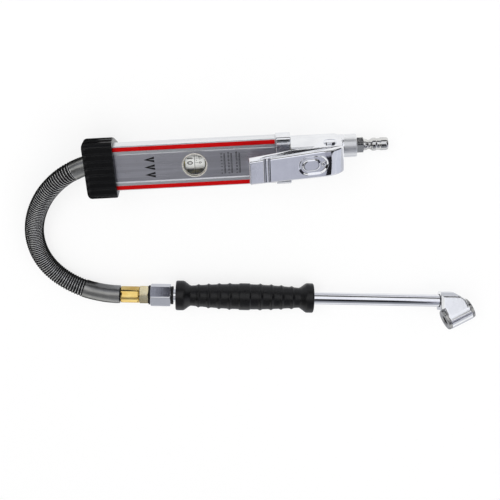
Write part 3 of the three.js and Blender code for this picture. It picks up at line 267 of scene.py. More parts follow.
def rounded(points, closed=False, steps=4):
    # corners given as (u, v, size) are rounded off, and plain ones stay sharp
    count = len(points)
    result = []
    for i, point in enumerate(points):
        here = Vector(point[:2])
        size = point[2] if len(point) > 2 else 0
        if not size or (not closed and i in (0, count - 1)):
            result.append(tuple(here))
            continue
        before = Vector(points[i - 1][:2]) - here
        after = Vector(points[(i + 1) % count][:2]) - here
        first = here + before.normalized() * min(size, before.length * 0.48)
        last = here + after.normalized() * min(size, after.length * 0.48)
        for k in range(steps + 1):
            t = k / steps
            result.append(tuple(first * (1 - t) ** 2 + here * 2 * t * (1 - t) + last * t * t))
    return result


def circlePoint(axis, place, radius, angle, at=(0, 0, 0)):
    u, v = radius * cos(angle), radius * sin(angle)
    if axis == "x":
        return (at[0] + place, at[1] + u, at[2] + v)
    if axis == "y":
        return (at[0] + u, at[1] + place, at[2] - v)
    return (at[0] + u, at[1] + v, at[2] + place)


def turned(profile, axis="x", at=(0, 0, 0), steps=96, reach=None, closed=False):
    # profile points are (place along the axis, radius); reach may change a radius with the angle
    rings = []
    for place, radius in rounded(profile, closed):
        ring = []
        for i in range(steps):
            angle = 2 * pi * i / steps
            size = reach(angle, place, radius) if reach else radius
            ring.append(circlePoint(axis, place, size, angle, at))
        rings.append(ring)
    return skin(rings, closed)


def hexReach(flat, turn, edge=80):
    # the radius of a hexagon with softened corners, never past the profile's own radius
    def reach(angle, place, radius):
        total = sum(max(0, cos(angle - radians(turn) - k * pi / 3)) ** edge for k in range(6))
        return min(radius, flat / total ** (1 / edge))
    return reach


def hexBar(start, end, corner, turn, bore, at=(0, 0, 0)):
    # a bored hexagon bar along X, its corners turned down at both ends
    flat = corner * cos(pi / 6)
    low, slope = flat - 0.25, (corner - flat) * 0.6
    turnedDown = [(slope * k / 6, low + (corner - low) * sin(pi / 2 * k / 6)) for k in range(7)]
    profile = [(start, bore), *((start + s, r) for s, r in turnedDown),
               *((end - s, r) for s, r in reversed(turnedDown)), (end, bore)]
    return turned(profile, "x", at, 144, hexReach(flat, turn), closed=True)


def arc(cx, cy, radius, start, end, steps):
    turns = [radians(start + (end - start) * i / steps) for i in range(steps + 1)]
    return [(cx + radius * cos(a), cy + radius * sin(a)) for a in turns]


def mirrored(half):
    return half + [(-u, v) for u, v in reversed(half)]


def between(first, last, share):
    return tuple(a + (b - a) * share for a, b in zip(first, last))


def clamp(value):
    return min(1, max(0, value))


def inset(outline, distance):
    count = len(outline)
    area = sum(a[0] * b[1] - b[0] * a[1] for a, b in zip(outline, outline[1:] + outline[:1]))
    inward = 1 if area > 0 else -1
    moved = []
    for i, (u, v) in enumerate(outline):
        before, after = outline[i - 1], outline[(i + 1) % count]
        first = Vector((u - before[0], v - before[1])).normalized()
        second = Vector((after[0] - u, after[1] - v)).normalized()
        onward = (first + second).normalized()
        side = Vector((-onward.y, onward.x)) * inward
        step = distance / max(0.5, onward.dot(first))
        moved.append((u + side.x * step, v + side.y * step))
    return moved


def onAxis(axis, u, v, place):
    return {"x": (place, u, v), "y": (u, place, v), "z": (u, v, place)}[axis]


def prism(outline, axis, low, high, soft=0, steps=4, stations=0):
    # an outline drawn along an axis, with its end edges rounded by soft
    levels = [(0, 0)]
    if soft:
        turns = [pi / 2 * k / steps for k in range(steps + 1)]
        levels = [(soft * (1 - sin(a)), soft * (1 - cos(a))) for a in turns]

    def ringAt(drawIn, place):
        ring = inset(outline, drawIn) if drawIn > 1e-6 else outline
        return [onAxis(axis, u, v, place) for u, v in ring]

    rings = [ringAt(drawIn, low + along) for drawIn, along in levels]
    rings += [ringAt(0, low + soft + (high - low - 2 * soft) * k / stations) for k in range(1, stations)]
    rings += [ringAt(drawIn, high - along) for drawIn, along in reversed(levels)]
    return skin(rings)


def box(x0, x1, y0, y1, z0, z1):
    return prism([(x0, y0), (x1, y0), (x1, y1), (x0, y1)], "z", z0, z1)


def rod(axis, low, high, radius, at=(0, 0, 0), steps=64):
    return turned([(low, radius), (high, radius)], axis, at, steps)


def blank(shape):
    # a work object for cutting and joining, not yet a piece
    data = bpy.data.meshes.new("blank")
    shape.to_mesh(data)
    shape.free()
    return linked("blank", data)


def bake(work):
    # the work object's modifiers become its mesh
    bpy.context.view_layer.update()
    shown = work.evaluated_get(bpy.context.evaluated_depsgraph_get())
    old = work.data
    work.data = bpy.data.meshes.new_from_object(shown)
    work.modifiers.clear()
    bpy.data.meshes.remove(old)
    return work


def worked(work, shape, how):
    tool = blank(shape)
    change = work.modifiers.new("work", "BOOLEAN")
    change.operation = how
    change.solver = "EXACT"
    change.object = tool
    bake(work)
    bpy.data.objects.remove(tool)
    return work


def cut(work, *shapes):
    for shape in shapes:
        worked(work, shape, "DIFFERENCE")
    return work


def fuse(work, *shapes):
    for shape in shapes:
        worked(work, shape, "UNION")
    return work


def castSkin(work, voxel):
    # melts the joined shapes into one cast skin with small fillets
    melt = work.modifiers.new("melt", "REMESH")
    melt.mode = "VOXEL"
    melt.voxel_size = voxel
    ease = work.modifiers.new("ease", "SMOOTH")
    ease.factor = 0.5
    ease.iterations = 3
    return bake(work)


def carry(piece, replaced=(), body="inflator"):
    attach(piece, body)
    if replaced:
        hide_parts(*replaced)
    return piece


def settle(work, name, place, material, replaced=(), body="inflator", edge=32, upright=False):
    # the finished piece: in metres, in place, with its finish, and riding on its body;
    # upright turns the mesh and not the object, so that the box round it stays small
    if isinstance(work, bmesh.types.BMesh):
        work = blank(work)
    work.name = name
    work.data.name = name
    work.data.transform(Matrix.Scale(mm, 4))
    if upright:
        work.data.transform(place)
    work.data.shade_smooth()
    work.data.set_sharp_from_angle(angle=radians(edge))
    work.data.materials.clear()
    work.data.materials.append(material)
    even = work.modifiers.new("evenShading", "WEIGHTED_NORMAL")
    even.keep_sharp = True
    work.matrix_world = Matrix() if upright else place
    return carry(work, replaced, body)


def printMark(outline, name, height):
    # thin flat print that stands a hair proud
    settle(prism(outline, "z", height - 0.02, height + 0.04), name, gunPlace, printBlack)


# Hose first: its route, then the guard that is wound round it.
hoseRoute = [
    (-136.3, 114.1, 24.5), (-141, 114.1, 24.5), (-147, 113.6, 24.5), (-155, 111.6, 24.3),
    (-163.3, 108.1, 23.5), (-171.6, 103.6, 22.3), (-179.6, 98, 20.8), (-187.2, 91.3, 19.1),
    (-194.3, 83.8, 17.3), (-200.6, 75.4, 15.6), (-206, 66.3, 14), (-210.4, 56.7, 12.6),
    (-213.5, 46.9, 11.5), (-215.2, 37, 10.7), (-215.3, 27, 10.2), (-213.9, 17.4, 10),
    (-211.1, 8.4, 10), (-207.1, 0.2, 10), (-202.2, -7, 10), (-196.6, -13.2, 10.1),
    (-190.6, -18.4, 10.4), (-184.2, -22.9, 10.8), (-177.6, -26.5, 11.4), (-171, -29.3, 12.1),
    (-164.4, -31.4, 12.9), (-157.8, -33, 13.7), (-151, -34.3, 14.5), (-143.5, -35.2, 15.2),
    (-136, -35.87, 15.5), (-126, -36.7, 15.5), (-116.9, -37.46, 15.5),
]
routeShift = Vector((-41.4, -25.3, 0))     # from the route's own frame to the model's


def smoothLine(points, per):
    # a curve through the points that doesn't overshoot where they lie close together
    points = [Vector(p) for p in points]
    ends = [points[0] * 2 - points[1], *points, points[-1] * 2 - points[-2]]
    line = []
    for p0, p1, p2, p3 in zip(ends, ends[1:], ends[2:], ends[3:]):
        t1 = (p1 - p0).length ** 0.5
        t2 = t1 + (p2 - p1).length ** 0.5
        t3 = t2 + (p3 - p2).length ** 0.5
        for k in range(per):
            t = t1 + (t2 - t1) * k / per
            a1 = p0 * ((t1 - t) / t1) + p1 * (t / t1)
            a2 = p1 * ((t2 - t) / (t2 - t1)) + p2 * ((t - t1) / (t2 - t1))
            a3 = p2 * ((t3 - t) / (t3 - t2)) + p3 * ((t - t2) / (t3 - t2))
            b1 = a1 * ((t2 - t) / t2) + a2 * (t / t2)
            b2 = a2 * ((t3 - t) / (t3 - t1)) + a3 * ((t - t1) / (t3 - t1))
            line.append(b1 * ((t2 - t) / (t2 - t1)) + b2 * ((t - t1) / (t2 - t1)))
    return line + [points[-1]]


def wire(name, points, radius, sides, material, replaced=()):
    data = bpy.data.curves.new(name, "CURVE")
    data.dimensions = "3D"
    data.bevel_depth = radius
    data.bevel_resolution = sides
    data.use_fill_caps = True
    spline = data.splines.new("POLY")
    spline.points.add(len(points) - 1)
    spline.points.foreach_set("co", [c for p in points for c in (*p, 1)])
    spline.use_smooth = True
    data.materials.append(material)
    return carry(linked(name, data), replaced)


routeLine = [(p + routeShift) * mm for p in smoothLine(hoseRoute, 8)]
routeAlong = [0.0]
for first, second in zip(routeLine, routeLine[1:]):
    routeAlong.append(routeAlong[-1] + (second - first).length)
hoseLength = routeAlong[-1]


def onRoute(along):
    # the point and the direction at a distance along the hose
    i = 0
    while i < len(routeAlong) - 2 and routeAlong[i + 1] < along:
        i += 1
    share = (along - routeAlong[i]) / (routeAlong[i + 1] - routeAlong[i])
    point = routeLine[i].lerp(routeLine[i + 1], share)
    before = routeLine[max(i - 1, 0)]
    after = routeLine[min(i + 2, len(routeLine) - 1)]
    return point, (after - before).normalized()


hoseRadius = 7.1 * mm


def makeHose():
    # the hose, a dark sleeve of painted shade under the guard's turns, and the guard's closely wound ends
    gapShade = {"radius": 8.75 * mm, "start": 6 * mm, "endGap": 20 * mm}
    sleeve = {"radius": 9.35 * mm, "bodyStart": 4 * mm, "bodyEnd": 28.5 * mm,
              "wandStartGap": 58.4 * mm, "wandEndGap": 19.8 * mm}

    def layer(name, low, high, radius, sides, material, slot):
        covered = [p for p, s in zip(routeLine, routeAlong) if low < s < high]
        return wire(name, covered, radius, sides, material)

    piece = wire("airHose", routeLine, hoseRadius, 6, hoseRubber, ["air_hose"])
    # a sleeve of the hose's own black drawn up just under the guard's wire, painting the shade between the
    # turns
    layers = [layer("hoseGapShade", gapShade["start"], hoseLength - gapShade["endGap"], gapShade["radius"], 6,
                    hoseRubber, "black_rubber")]
    for name, low, high in (
            ("guardSleeveBody", sleeve["bodyStart"], sleeve["bodyEnd"]),
            ("guardSleeveWand", hoseLength - sleeve["wandStartGap"], hoseLength - sleeve["wandEndGap"])):
        layers.append(layer(name, low, high, sleeve["radius"], 10, sleeveSteel, "spring_steel"))
    return piece, layers


def makeGuard():
    # pitches in mm at places along the hose; where it is close the turns just touch
    guard = {
        "wire": 0.43, "mean": 9.07, "start": 27.5, "endGap": 57.6, "steps": 20,
        "touching": 1.12, "lookAhead": 4,
        "pitches": [(28, 1.12), (30, 2.9), (60, 2.6), (100, 2.1), (140, 2.15), (175, 2.5),
                    (192, 2.85), (204, 2.9)],
    }

    def wantedPitch(along):
        knots = guard["pitches"]
        for (a, low), (b, high) in zip(knots, knots[1:]):
            if along < b:
                return low + (high - low) * (along - a) / (b - a)
        return knots[-1][1]

    points = []
    along, end = guard["start"], hoseLength / mm - guard["endGap"]
    turn = 0
    while along < end:
        point, ahead = onRoute(along * mm)
        nearby = onRoute(min(along + guard["lookAhead"], end) * mm)[1]
        bend = (nearby - ahead).length / guard["lookAhead"]
        side = Vector((0, 0, 1)).cross(ahead).normalized()
        rise = ahead.cross(side)
        angle = 2 * pi * turn / guard["steps"]
        reach = side * cos(angle) + rise * sin(angle)
        points.append(point + reach * guard["mean"] * mm)
        touching = guard["touching"] / (1 - guard["mean"] * bend)
        along += max(wantedPitch(along), touching) / guard["steps"]
        turn += 1
    print("guard wound with", turn // guard["steps"], "turns")
    return wire("hoseGuard", points, guard["wire"] * mm, 2, guardSteel,
                ["hose_guard_spring"])


def makeWandFerrule():
    # crimped: round at both ends, pressed into a soft hexagon between them
    start, end, outer, bore = -56.6, -37.7, 8.7, 7.4
    crimped = {"start": start + 0.6, "end": start + 18.1, "slope": 0.9}
    pressed = hexReach(8, 58, 36)

    def crimp(angle, place, radius):
        if radius < bore + 0.2:
            return radius
        depth = min(place - crimped["start"], crimped["end"] - place) / crimped["slope"]
        return radius + clamp(depth) * (pressed(angle, place, radius) - radius)

    lengthwise = [(start + 0.4 + 0.6 * k, outer - 0.15) for k in range(30)]
    profile = [(start, bore), (start, outer - 0.4, 0.3), *lengthwise, (end - 0.7, outer, 0.3),
               (end, outer - 0.5, 0.3), (end, bore)]
    shape = turned(profile, "x", (0, 0, 0), 96, crimp, closed=True)
    return settle(shape, "wandFerrule", wandPlace, ferruleBrass, ["hose_ferrule_wand"])


hosePiece, hoseLayers = makeHose()
guardPiece = makeGuard()
wandFerrule = makeWandFerrule()
print("hose laid,", round(hoseLength, 4), "m")


# Body: an extruded section with a sunk panel and two grooves for the red strips.
bodySizes = {
    "start": -126, "end": 28, "half": 22.4, "face": 41, "shoulder": 29.5, "corner": 2,
    "backRadius": 13.5, "backMiddle": 18.5, "wall": 2.5, "innerTop": 38, "drop": 0.279,
    "panelHalf": 13.3, "panelBevel": 14.2, "panelFloor": 40.2,
    "stripInner": 17.2, "stripOuter": 21.2, "stripDepth": 0.7,
    "windowX": -47.4, "windowHole": 11.6,
}


def sectionHalf(grow, top=None):
    # the right half of the body's outline, from the face's edge down to the back's middle
    s = bodySizes
    top = s["face"] + grow if top is None else top
    half, radius = s["half"] + grow, s["backRadius"] + grow
    shoulder = s["shoulder"] - s["drop"] * grow
    reach = hypot(half, shoulder - s["backMiddle"])
    touch = degrees(atan2(shoulder - s["backMiddle"], half) - acos(radius / reach))
    corner = max(s["corner"] + grow, 0.8)
    side = arc(half - corner, top - corner, corner, 90, 0, 6)
    edge = rounded([(half, top - corner - 1), (half, shoulder, 1.2), (half - 2, shoulder - 3)])
    back = arc(0, s["backMiddle"], radius, touch, -90, 18)
    return side + edge[1:-1] + back


def wholeSection(grow):
    # both sides share the point at the back's middle, so it is left out
    return mirrored(sectionHalf(grow)[:-1])


def makeBody():
    s = bodySizes
    half = sectionHalf(0)
    rounding = s["half"] - s["corner"]
    lip = s["stripOuter"] + 0.1
    lipTop = s["face"] - s["corner"] + (s["corner"] ** 2 - (lip - rounding) ** 2) ** 0.5
    groove = [(lip, lipTop), (lip, s["face"] - s["stripDepth"]),
              (s["stripInner"] - 0.1, s["face"] - s["stripDepth"]), (s["stripInner"] - 0.1, s["face"])]
    recess = [(s["panelBevel"] + 0.25, s["face"], 0.3), (s["panelBevel"], s["face"] - 0.1),
              (s["panelHalf"], s["panelFloor"])]
    face = [(0, s["panelFloor"])] + rounded(recess)[::-1] + groove[::-1]
    outline = face + [(u, v) for u, v in half if u > lip + 0.05 or v < s["face"] - s["corner"]]
    outline = outline[:-1] + [(0, s["backMiddle"] - s["backRadius"])]
    left = [(-u, v) for u, v in outline[1:-1]][::-1]
    right = sectionHalf(-s["wall"], s["innerTop"])[:-1]
    inner = [*right, (0, s["backMiddle"] - s["backRadius"] + s["wall"])]
    inner += [(-u, v) for u, v in reversed(right)]
    work = blank(prism(outline + left, "x", s["start"], s["end"]))
    cut(work, prism(inner, "x", s["start"] - 1, s["end"] + 1),
        rod("z", 36, 42, s["windowHole"], (s["windowX"], 0, 0), 96))
    settle(work, "bodySection", gunPlace, satinAluminium, ["body_extrusion"])


def makePanelPlate():
    plate = {"start": -123, "end": 27.8, "half": 13.1, "thick": 0.12, "hole": 12.2}
    low, half = bodySizes["panelFloor"] + 0.02, plate["half"]
    work = blank(box(plate["start"], plate["end"], -half, half, low, low + plate["thick"]))
    cut(work, rod("z", low - 1, low + 2, plate["hole"], (bodySizes["windowX"], 0, 0), 96))
    settle(work, "panelPlate", gunPlace, brushedPlate)


def makeStrips():
    strip = {"start": -123, "end": 28, "low": 40.4, "top": 41, "crown": 0.12}
    middle = (bodySizes["stripInner"] + bodySizes["stripOuter"]) / 2
    half = (bodySizes["stripOuter"] - bodySizes["stripInner"]) / 2
    for name, side, node in (("stripUpper", 1, "red_trim_upper"), ("stripLower", -1, "red_trim_lower")):
        across = [half * (k / 6 - 1) for k in range(13)]
        top = [(side * middle + y, strip["top"] - strip["crown"] * (y / half) ** 2) for y in across]
        low = [(side * middle + y, strip["low"]) for y in (-half, half)]
        settle(prism([*low, *reversed(top)], "x", strip["start"], strip["end"]), name, gunPlace, stripRed,
               [node])


makeBody()
makePanelPlate()
makeStrips()
print("body, panel and strips made")


# Window: the ring, the glass, and the number drum that turns under it.
def makeWindow():
    window = {"sleeve": 11.3, "flange": 11.9, "inner": 11, "lip": 10.3, "disc": 10.8}
    at = (bodySizes["windowX"], 0, 0)
    ringProfile = [
        (36, window["lip"]), (36, window["sleeve"]), (40.5, window["sleeve"]), (40.5, window["flange"]),
        (41.1, window["flange"], 0.3), (41.4, window["flange"] - 0.5, 0.3), (41.4, window["inner"], 0.25),
        (36.8, window["inner"]), (36.8, window["lip"])]
    settle(turned(ringProfile, "z", at, 96, closed=True), "windowRing", gunPlace, bezelRing,
           ["lens_bezel"])
    dome = [(40.08 - 0.5 * (k / 8) ** 2, window["disc"] * k / 8) for k in range(8, 0, -1)]
    glassProfile = [(37.75, window["disc"] - 0.2), (37.75, window["disc"])] + dome
    settle(turned(glassProfile, "z", at, 96), "windowGlass", gunPlace, windowGlass,
           ["window_lens"])
    hairline = [(at[0] - 0.25, -10), (at[0] + 0.25, -10), (at[0] + 0.25, 10), (at[0] - 0.25, 10)]
    printMark(hairline, "windowHairline", 37.62)


def numberMesh(words, size):
    data = bpy.data.curves.new(words, "FONT")
    data.body = words
    data.size = size
    data.align_x = "CENTER"
    data.align_y = "CENTER"
    data.extrude = 0.04
    data.offset = 0.02 * size     # a little bolder
    text = linked(words, data)
    bpy.context.view_layer.update()
    mesh = bpy.data.meshes.new_from_object(text.evaluated_get(bpy.context.evaluated_depsgraph_get()))
    bpy.data.objects.remove(text)
    return mesh


def makeDrum():
    drum = {"start": -56.4, "end": -38.4, "outer": 9.5, "inner": 8.2, "axisZ": 24.5, "web": 0.8,
            "slotWide": 5.6, "slotHigh": 2.0, "turn": 300, "most": 12}
    at = (0, 0, drum["axisZ"])
    shell = [(drum["start"], drum["inner"]), (drum["start"], drum["outer"], 0.25),
             (drum["end"], drum["outer"], 0.25), (drum["end"], drum["inner"])]
    middle = (drum["start"] + drum["end"]) / 2
    work = blank(turned(shell, "x", at, 96, closed=True))
    fuse(work, rod("x", middle - drum["web"] / 2, middle + drum["web"] / 2, drum["inner"] + 0.3, at, 96))
    wide, high = drum["slotWide"] / 2, drum["slotHigh"] / 2
    cut(work, box(middle - 2, middle + 2, -wide, wide, drum["axisZ"] - high, drum["axisZ"] + high))
    settle(work, "numberDrum", gunPlace, drumWhite, ["scale_drum"], "drum")
    # Two rings of numbers run round the drum, given as their size and place, with ticks between them.
    rings = {"first": (7, -4.1), "second": (3.6, 5), "secondStep": 15,
             "ticksAt": 1.6, "tickWide": 0.28, "tickTall": 0.08, "longTick": 2.2, "shortTick": 1.2}
    marks = bmesh.new()

    def stamp(mesh, x, angle):
        # text reads along the drum's turn, with its top towards the hose
        onSurface = Matrix.Translation((x, 0, drum["axisZ"])) @ Matrix.Rotation(angle, 4, "X")
        onSurface = onSurface @ Matrix.Translation((0, 0, drum["outer"] + 0.1))
        mesh.transform(onSurface @ Matrix.Rotation(pi / 2, 4, "Z"))
        marks.from_mesh(mesh)
        bpy.data.meshes.remove(mesh)

    for step in range(drum["most"] * 2 + 1):
        angle = -radians(drum["turn"] * step / (drum["most"] * 2))
        number, odd = divmod(step, 2)
        if not odd:
            for ring, worth in (("first", 1), ("second", rings["secondStep"])):
                size, x = rings[ring]
                stamp(numberMesh(str(number * worth), size), middle + x, angle)
        tick = bmesh.new()
        length = rings["shortTick"] if odd else rings["longTick"]
        sizes = Matrix.Diagonal((rings["tickWide"], length, rings["tickTall"], 1))
        bmesh.ops.create_cube(tick, size=1, matrix=sizes)
        data = bpy.data.meshes.new("tick")
        tick.to_mesh(data)
        tick.free()
        stamp(data, middle + rings["ticksAt"], angle)
    settle(marks, "drumNumbers", gunPlace, printBlack, (), "drum")


makeWindow()
makeDrum()
print("window and number drum made")


# Print on the panel: a plain flow mark and a plain scale.
def makePanelPrint():
    top = bodySizes["panelFloor"] + 0.15
    mark = {"x": -89.5, "wide": 10, "outer": 2.9, "inner": 0.6, "notch": 4.2, "pitch": 7.6, "count": 3}
    x0, x1 = mark["x"] - mark["wide"] / 2, mark["x"] + mark["wide"] / 2
    upper = [(x0, 0), (x1, mark["outer"]), (x1, mark["inner"]), (x0 + mark["notch"], 0)]
    chevron = upper + [(x, -y) for x, y in reversed(upper[1:-1])]
    for i in range(mark["count"]):
        middle = (i - (mark["count"] - 1) / 2) * mark["pitch"]
        printMark([(x, middle + y) for x, y in chevron], f"flowMark{i + 1}", top)
    # columns of numbers, given as a place and a number's worth, with ticks and a line beside each
    scale = {"columns": ((-22, 1), (-15.5, 10), (-8, 15)), "numbers": range(0, 14, 2), "size": 2.3,
             "half": 9.6, "ticks": 24, "ticksAt": 1.6, "longTick": 1.5, "shortTick": 0.9, "tickWide": 0.4,
             "lineAt": 3, "lineWide": 0.5, "lineLong": 19.8, "tall": 0.08}
    marks = bmesh.new()

    def bar(x, y, long, wide):
        matrix = Matrix.Translation((x, y, top)) @ Matrix.Diagonal((long, wide, scale["tall"], 1))
        bmesh.ops.create_cube(marks, size=1, matrix=matrix)

    def spaced(count):
        return [(i, scale["half"] * (2 * i / (count - 1) - 1)) for i in range(count)]

    for x, worth in scale["columns"]:
        for i, y in spaced(len(scale["numbers"])):
            shown = numberMesh(str(scale["numbers"][i] * worth), scale["size"])
            shown.transform(Matrix.Translation((x, y, top + 0.02)) @ Matrix.Rotation(pi / 2, 4, "Z"))
            marks.from_mesh(shown)
            bpy.data.meshes.remove(shown)
        for i, y in spaced(scale["ticks"] + 1):
            long = scale["shortTick"] if i % 4 else scale["longTick"]
            bar(x + scale["ticksAt"] + long / 2, y, long, scale["tickWide"])
        bar(x + scale["lineAt"], 0, scale["lineWide"], scale["lineLong"])
    settle(marks, "panelScale", gunPlace, printGrey)


makePanelPrint()
print("panel print made")


# Boot: ribbed rubber that wraps the hose end, made as rings that run in through the hole.
def makeBoot():
    boot = {"start": -150.2, "end": -121.6, "half": 28.2, "top": 47, "corner": 5.5, "foot": 9,
            "footCorner": 5, "wall": 3.5, "ribPitch": 6.85, "ribHigh": 1.1, "ribWide": 0.75, "hole": 11,
            "holeAt": (-0.9, 24.4), "play": 0.3, "drawnIn": 3.6, "points": 480}

    def outlineAt(drawIn):
        half, top = boot["half"] - drawIn, boot["top"] - drawIn
        corner = boot["corner"] - min(drawIn, 2)
        right = arc(half - corner, top - corner, corner, 90, 0, 10)
        right += rounded([(half, 36), (half, 31.5, 4), (half - 1.4, 26.5, 3), (half - 5, 18)])[1:-1]
        footCorner = boot["footCorner"] - min(drawIn, 2)
        right += arc(boot["foot"], drawIn + footCorner, footCorner, -28, -90, 10)
        return mirrored(right)

    def evenly(outline, count, start):
        # the outline walked at even steps, beginning at the point nearest to start
        first = min(range(len(outline)), key=lambda i: dist(outline[i], start))
        loop = outline[first:] + outline[:first + 1]
        lengths = [0]
        for a, b in zip(loop, loop[1:]):
            lengths.append(lengths[-1] + dist(a, b))
        walked, k = [], 0
        for i in range(count):
            want = lengths[-1] * i / count
            while lengths[k + 1] < want:
                k += 1
            share = (want - lengths[k]) / max(lengths[k + 1] - lengths[k], 1e-9)
            walked.append(between(loop[k], loop[k + 1], share))
        return walked

    def ribbed(outline, depth):
        # thin ridges run along the top and the upper sides, with the skin between them drawn in
        moved = []
        for (u, v), deep in zip(outline, inset(outline, depth)):
            place = u if v > boot["top"] - 2.5 else boot["top"] - v
            offset = abs(place / boot["ribPitch"] % 1 - 0.5) * boot["ribPitch"]
            share = 1 - exp(-(offset / boot["ribWide"]) ** 2) if v > 24 else 1
            moved.append(between((u, v), deep, share))
        return moved

    count, top = boot["points"], (0, boot["top"])
    # stations from the open end to the hose's: the distance from that end, the inset and the ribs' share
    openEnd = [(0, 1.1, 0), (0.25, 0.5, 0.1), (0.8, 0.1, 0.5), (1.6, 0, 1)]
    hoseEnd = [(8, 0, 1), (4, 0, 1), (2.6, 0.35, 1), (1.6, 0.95, 0.9), (0.9, 1.8, 0.7), (0.35, 2.7, 0.4),
               (0, boot["drawnIn"], 0)]
    stations = [(boot["end"] - x, drawIn, rib) for x, drawIn, rib in openEnd]
    stations += [(boot["start"] + x, drawIn, rib) for x, drawIn, rib in hoseEnd]
    rings = []
    for x, drawIn, rib in stations:
        outline = evenly(outlineAt(drawIn), count, top)
        rings.append([(x, *point) for point in ribbed(outline, boot["ribHigh"] * rib)])
    # then in over the hose end's face, through the hole, and back along the body's own section
    face = evenly(outlineAt(boot["drawnIn"]), count, top)

    def holeRing(size):
        middle, radius = boot["holeAt"], boot["hole"] * size
        return [between(middle, point, radius / dist(middle, point)) for point in face]

    for share in (0.3, 0.6, 0.85):
        pairs = zip(face, holeRing(1.08))
        rings.append([(boot["start"], *between(point, edge, share)) for point, edge in pairs])
    for x, size in ((0, 1.07), (0.25, 1.02), (0.8, 1), (boot["wall"], 1)):
        rings.append([(boot["start"] + x, *point) for point in holeRing(size)])
    inner = evenly(wholeSection(boot["play"]), count, (0, bodySizes["face"] + boot["play"]))
    for x in (boot["start"] + boot["wall"], boot["end"]):
        rings.append([(x, *point) for point in inner])
    settle(skin(rings, closed=True), "rubberBoot", gunPlace, bootRubber, ["rubber_boot"],
           edge=50)


makeBoot()
print("boot made")


# Head: flange, block and inlet boss cast as one, then bored.
pivotAt = (79.7, 0, 33.2)
pivotBore = 3.25
valveX = 55
bossZ = 11
screwPorts = {"places": ((16.9, 35), (-16.9, 35), (13.6, 22.5), (-13.6, 22.5)), "face": 40.4}


def makeHead():
    head = {"start": 28.7, "flangeEnd": 42.7, "half": 10.6, "foot": 3, "top": 36, "blockEnd": 93,
            "bossEnd": 107, "boss": 11, "knuckle": 7.2, "grow": 1.4}
    bores = {"valve": 4, "valveFrom": 2.6, "nut": 6.3, "nutFrom": 26, "plug": 6.4, "plugFrom": 95,
             "screw": 1.6, "screwHead": 2.9}
    px, _, pz = pivotAt
    inside, foot, top, end = head["flangeEnd"] - 4, head["foot"], head["top"], head["blockEnd"]
    ramp = rounded([(60, top), (px - head["knuckle"] - 1, top, 2), (px - 6, 37.5)])[1:-1]
    side = [(inside, foot), (inside, top), *ramp, *arc(px, pz, head["knuckle"], 140, 0, 16),
            (px + head["knuckle"] + 2.2, 28), (end, 20), (end, 9), (end - 6, foot)]
    flange = prism(wholeSection(head["grow"]), "x", head["start"], head["flangeEnd"], 0.8)
    boss = [(inside, head["boss"]), (head["bossEnd"], head["boss"], 1)]
    work = fuse(blank(flange), prism(side, "y", -head["half"], head["half"], 1.6),
                turned(boss, "x", (0, 0, bossZ), 128))
    castSkin(work, 0.42)
    cut(work, rod("z", bores["valveFrom"], 37, bores["valve"], (valveX, 0, 0)),
        rod("z", bores["nutFrom"], 39, bores["nut"], (valveX, 0, 0)),
        rod("x", bores["plugFrom"], 108, bores["plug"], (0, 0, bossZ)),
        rod("y", -20, 20, pivotBore, pivotAt))
    for y, z in screwPorts["places"]:
        cut(work, rod("x", head["start"] - 1, head["flangeEnd"] + 1, bores["screw"], (0, y, z), 32),
            rod("x", head["flangeEnd"] - 2.4, head["flangeEnd"] + 1, bores["screwHead"], (0, y, z), 48))
    piece = settle(work, "headCasting", gunPlace, castChrome, ["head_casting"], edge=40)
    # the turned boss has a softer gloss than the polished block
    piece.data.materials.append(bossChrome)
    for face in piece.data.polygons:
        if face.center.x > (end + 1.5) * mm:
            face.material_index = 1


def makeFlangeScrews():
    screw = {"head": 2.5, "tall": 2, "shank": 1.15, "length": 24}
    slot = {"half": 0.3, "deep": 0.8, "reach": 1.5}
    face, shank, head = screwPorts["face"], screw["shank"], screw["head"]
    half, reach = slot["half"], slot["reach"]
    tip, top = face - screw["length"], face + screw["tall"]
    profile = [(tip, shank - 0.3), (tip + 0.5, shank), (face, shank), (face, head), (face + 1.2, head, 0.5),
               (top, head - 1, 0.6), (top, 0.3)]
    for i, (y, z) in enumerate(screwPorts["places"]):
        work = blank(turned(profile, "x", (0, y, z), 48))
        for wide, high in ((reach, half), (half, reach)):
            cut(work, box(top - slot["deep"], top + 1, y - wide, y + wide, z - high, z + high))
        settle(work, f"flangeScrew{i + 1}", gunPlace, screwSteel, [f"flange_screw_{i + 1}"])


def makeInletPlug():
    bore, thread, shoulder, waist, groove, nose = 3.4, 6.1, 5.6, 4.6, 5.7, 6.3
    at = (0, 0, bossZ)
    hexagon = {"start": 107.1, "end": 113.7, "corner": 8.5, "turn": 38, "bore": bore + 0.5, "at": at}
    profile = [
        (97, bore), (97, shoulder, 0.3), (97.6, thread), (107.3, thread), (107.3, shoulder),
        (115, shoulder, 0.6), (117.4, 5.2, 0.8), (118.4, waist, 0.8), (120, waist, 0.8), (122.4, nose, 0.5),
        (125.4, nose, 0.5), (126.6, groove, 0.5), (129, groove, 0.5), (130.4, nose, 0.5), (135.8, nose, 0.8),
        (137.5, groove, 0.5), (137.5, bore, 0.3)]
    work = blank(turned(profile, "x", at, 96, closed=True))
    fuse(work, hexBar(**hexagon))
    settle(work, "inletPlug", gunPlace, plugSteel, ["inlet_plug"])


